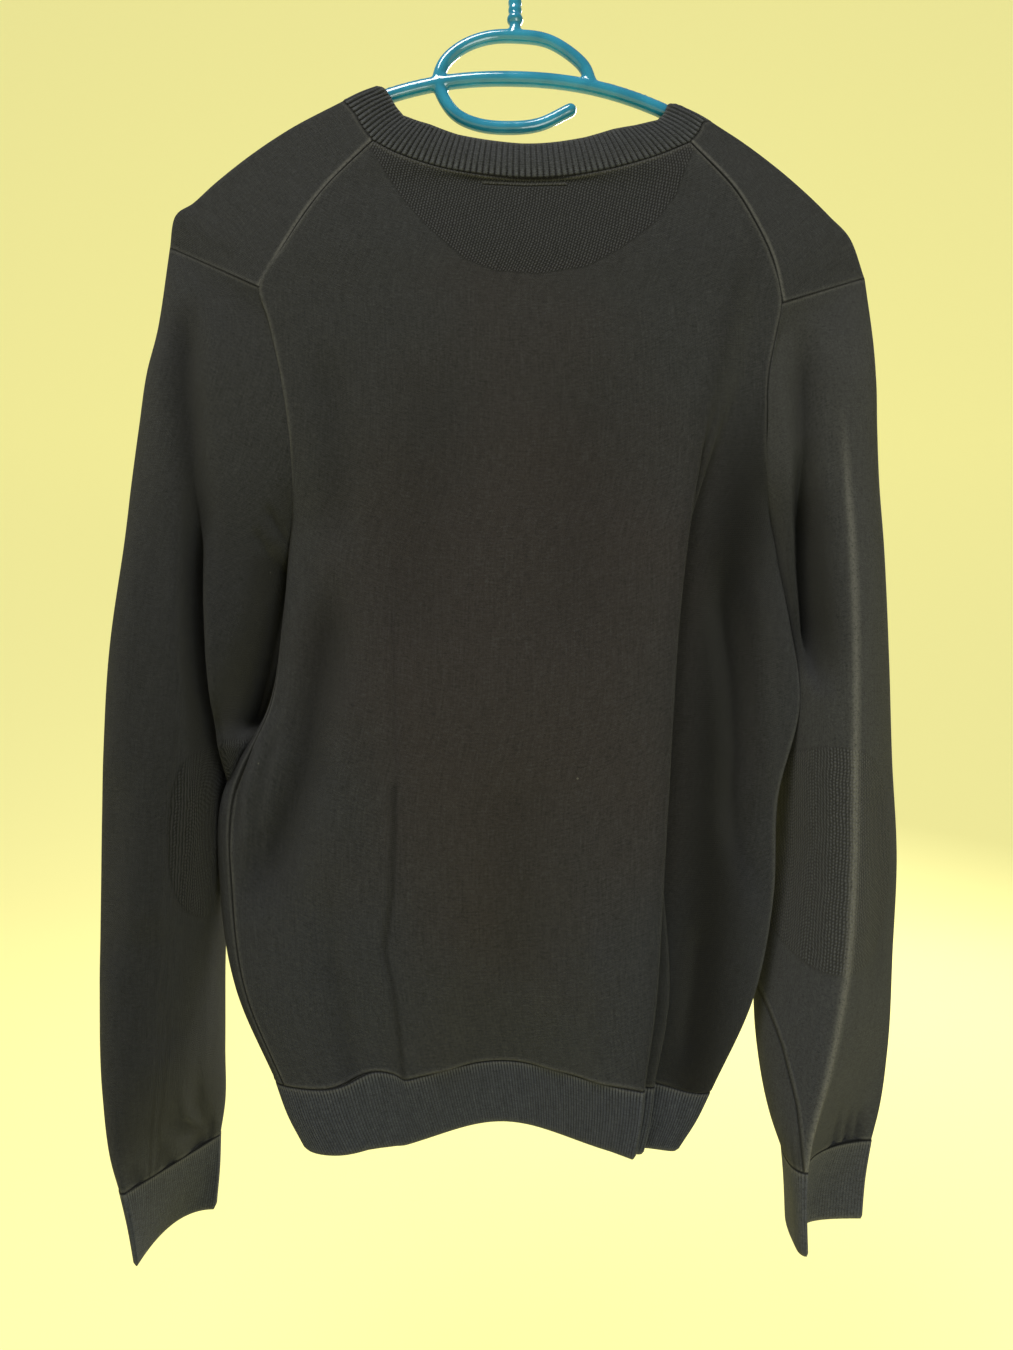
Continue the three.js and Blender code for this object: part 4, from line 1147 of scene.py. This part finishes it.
def hem_rows():
    ends = [body_level(HEM_LEVEL), body_level(HEM_LEVEL + 1)]
    columns = [round(along(run)[-1] / HEM_PITCH) * PER_RIB for run in ends[0]]
    rows = []
    for runs in ends:
        parts = [evenly(run, count + 1)[:-1] for run, count in zip(runs, columns)]
        rows.append(np.concatenate([*parts, [runs[0][0]]]))
    middle = (rows[0] + rows[1]) / 2
    spread = middle[:, :2] - middle[:, :2].mean(axis=0)
    middle[:, :2] += spread * 0.012
    return [rows[0], middle, rows[1]]


band("hem_rib", hem_rows())


def cuff_rows(levels):
    dense = closed_level(levels[0], (90, 90, 90, 90))
    counts = [round(along(dense[k * 90:(k + 1) * 90 + 1])[-1] / HEM_PITCH) * PER_RIB for k in range(4)]
    return [closed_level(level, counts) for level in levels]


band("cuff_left", cuff_rows(LEFT_CUFF))
band("cuff_right", cuff_rows(RIGHT_CUFF))

# ------------------------------------------------------------------ the hanger

LOOP_TOP = -91.6
LOOP = [
    (50, -122.1), (44.9, -110.9), (22.8, -95.1), (0, LOOP_TOP), (-19.1, -92.8), (-35.6, -99.3),
    (-46.9, -109.6), (-50.6, -121.5), (-46.7, -133.3), (-38.4, -143.7), (-24.5, -150), (-5, -152.1),
    (15.8, -150), (36.6, -140.3),
]
LOOP_RADIUS, HOOK_RADIUS, HOOK_INSIDE = 4.3, 3.5, 20
STEM_TOP = -60
# The stem's rings, from the loop up to the hook: [z, radius].
STEM = [
    (-91, 4.2), (-85, 3.9), (-83.2, 4.0), (-82.6, 5.1), (-81.6, 5.5), (-80, 5.5), (-79, 5.1),
    (-78.4, 4.3), (-76, 4.2), (-75.4, 4.8), (-74, 4.8), (-73.4, 4.2), (-71, 4.2), (-70.4, 4.8),
    (-69, 4.8), (-68.4, 4.2), (-64, 4.4), (STEM_TOP, 4.6),
]
TEETH = [(-82, -58), (60, 100)]  # where they start and end, either side of the loop
TOOTH_STEP, TOOTH_HALF, TOOTH_RADIUS = 4.0, 2.2, 1.0


def tube(line, radius, side, other, sides):
    """A closed tube along a line, as points and faces. side and other point across it."""
    angle = np.linspace(0, 2 * math.pi, sides, endpoint=False)[None, :, None]
    ring = np.cos(angle) * side[:, None] + np.sin(angle) * np.array(other)
    points = line[:, None] + ring * radius[:, None, None]
    index = np.arange(len(line) * sides).reshape(len(line), sides)
    after = np.roll(index, -1, axis=1)
    faces = np.stack([index[:-1], after[:-1], after[1:], index[1:]], axis=2).reshape(-1, 4).tolist()
    return points.reshape(-1, 3), faces + [index[0][::-1].tolist(), index[-1].tolist()]


def rod(line, radius):
    """A round-ended tube along a line in the XZ plane."""
    radius = np.broadcast_to(np.asarray(radius, float), (len(line),))
    steps = np.gradient(line, axis=0)
    steps /= np.linalg.norm(steps, axis=1, keepdims=True)
    turn = np.linspace(0, math.pi / 2, 7)[1:-1]
    out, narrow = np.sin(turn)[:, None], np.cos(turn)
    head, tail = line[0] - steps[0] * radius[0] * out, line[-1] + steps[-1] * radius[-1] * out
    line = np.concatenate([head[::-1], line, tail])
    radius = np.concatenate([radius[0] * narrow[::-1], radius, radius[-1] * narrow])
    steps = np.pad(steps, ((len(turn), len(turn)), (0, 0)), mode="edge")
    side = np.stack([-steps[:, 2], np.zeros(len(steps)), steps[:, 0]], axis=1)
    return tube(line, radius, side, (0, 1, 0), 28)


def tooth(x):
    """A small round-ended peg across the top of the bar, that stops straps from sliding."""
    place, up = bar_at(x)
    across = place + up * (BAR_RADIUS - 0.5) + np.outer(np.linspace(-TOOTH_HALF, TOOTH_HALF, 4), (0, 1, 0))
    side = np.tile([1.0, 0, 0], (4, 1))
    return tube(across, np.array([0.6, 1, 1, 0.6]) * TOOTH_RADIUS, side, (0, 0, -1), 10)


def hook_line():
    points = [(0, 0, STEM_TOP - 4), (0.5, 0, STEM_TOP + 4), (4, 0, STEM_TOP + 13)]
    for angle in range(-60, 191, 25):
        turn = math.radians(angle)
        reach = HOOK_INSIDE + HOOK_RADIUS
        points.append((reach * math.cos(turn), 0, -HOOK_INSIDE + reach * math.sin(turn)))
    return smooth_line(points, 120)


def stem():
    ring_z, ring_radius = np.array(STEM).T
    heights = np.linspace(ring_z[0], ring_z[-1], 150)
    return rod(np.outer(heights, (0, 0, 1)), np.interp(heights, ring_z, ring_radius))


def hanger_piece():
    loop = smooth_line([(x, 0, z) for x, z in LOOP], 200)
    parts = [rod(BAR[::2], BAR_RADIUS), rod(loop, LOOP_RADIUS), stem(), rod(hook_line(), HOOK_RADIUS)]
    parts += [tooth(x) for start, end in TEETH for x in np.arange(start, end, TOOTH_STEP)]
    faces, count = [], 0
    for part_points, part_faces in parts:
        faces += [[k + count for k in face] for face in part_faces]
        count += len(part_points)
    mesh = bpy.data.meshes.new("hanger_body")
    mesh.from_pydata((np.concatenate([points for points, _ in parts]) * MM).tolist(), [], faces)
    piece = add_object("hanger_body", mesh)
    remesh = piece.modifiers.new("join", "REMESH")
    remesh.mode = "VOXEL"
    remesh.voxel_size = 1.0 * MM
    soften = piece.modifiers.new("soften", "SMOOTH")
    soften.factor, soften.iterations = 0.5, 5
    bpy.context.view_layer.update()
    solid = bpy.data.meshes.new_from_object(piece.evaluated_get(bpy.context.evaluated_depsgraph_get()))
    piece.modifiers.clear()
    piece.data = solid
    solid.shade_smooth()
    solid.materials.clear()
    return piece


finish_piece(hanger_piece(), blue_plastic, "hanger")

# ------------------------------------------------------------------ stage, lights, camera


FLOOR_Z, FLOOR_END, WALL_Y, WALL_TOP = -1.15, -6.0, 3.4, 5.0
SWEEP_RADIUS, STAGE_HALF = 1.6, 6.0
STAGE_COLOR = (0.40, 0.375, 0.155, 1)
STAGE_GLOW = (0.93, 0.88, 0.36, 1)


def sweep_floor():
    """A pale floor that curves up into a wall, far behind the sweater."""
    profile = [(FLOOR_END, FLOOR_Z)]
    for turn in np.linspace(0, math.pi / 2, 25):
        profile.append((WALL_Y - SWEEP_RADIUS + SWEEP_RADIUS * math.sin(turn),
                        FLOOR_Z + SWEEP_RADIUS - SWEEP_RADIUS * math.cos(turn)))
    profile.append((WALL_Y, WALL_TOP))
    points = [(x, y, z) for y, z in profile for x in (-STAGE_HALF, STAGE_HALF)]
    faces = [(2 * n, 2 * n + 1, 2 * n + 3, 2 * n + 2) for n in range(len(profile) - 1)]
    mesh = bpy.data.meshes.new("floor")
    mesh.from_pydata(points, [], faces)
    mesh.shade_smooth()
    n = Nodes("pale_floor")
    n.fill(n.shader, {"Base Color": STAGE_COLOR, "Roughness": 0.9,
                      "Emission Color": STAGE_GLOW, "Emission Strength": 0.69})
    mesh.materials.append(n.material)
    add_object("floor", mesh)


sweep_floor()


def area_light(name, place, target, size, power, color):
    light = bpy.data.lights.new(name, "AREA")
    light.shape = "DISK"
    light.size, light.energy, light.color = size, power, color
    lamp = add_object(name, light)
    lamp.location = place
    lamp.rotation_euler = (Vector(target) - Vector(place)).to_track_quat("-Z", "Y").to_euler()


MIDDLE = (0, 0, -0.5)
area_light("key", (0.35, -0.85, -0.68), (0.24, 0, -0.68), 0.55, 3.6, (0.95, 0.99, 1.0))
area_light("top", (-0.5, -1.0, 1.3), MIDDLE, 1.0, 36, (1.0, 0.99, 0.97))
area_light("front", (0.9, 1.9, 0.5), MIDDLE, 1.2, 64, (0.98, 0.98, 1.0))

world = bpy.data.worlds.new("studio")
world.use_nodes = True
sky = world.node_tree.nodes["Background"].inputs
sky["Color"].default_value = (0.95, 0.97, 1.0, 1)
sky["Strength"].default_value = 0.25
bpy.context.scene.world = world

camera_data = bpy.data.cameras.new("camera")
camera_data.sensor_fit = "AUTO"
camera_data.sensor_width = 36
camera_data.lens = 27
camera_data.clip_start = 0.01
camera = add_object("camera", camera_data)
camera.location = (-0.0056, -0.669, -0.5135)
camera.rotation_euler = (math.pi / 2, 0, 0)
bpy.context.scene.camera = camera
bpy.context.scene.view_settings.view_transform = "Standard"
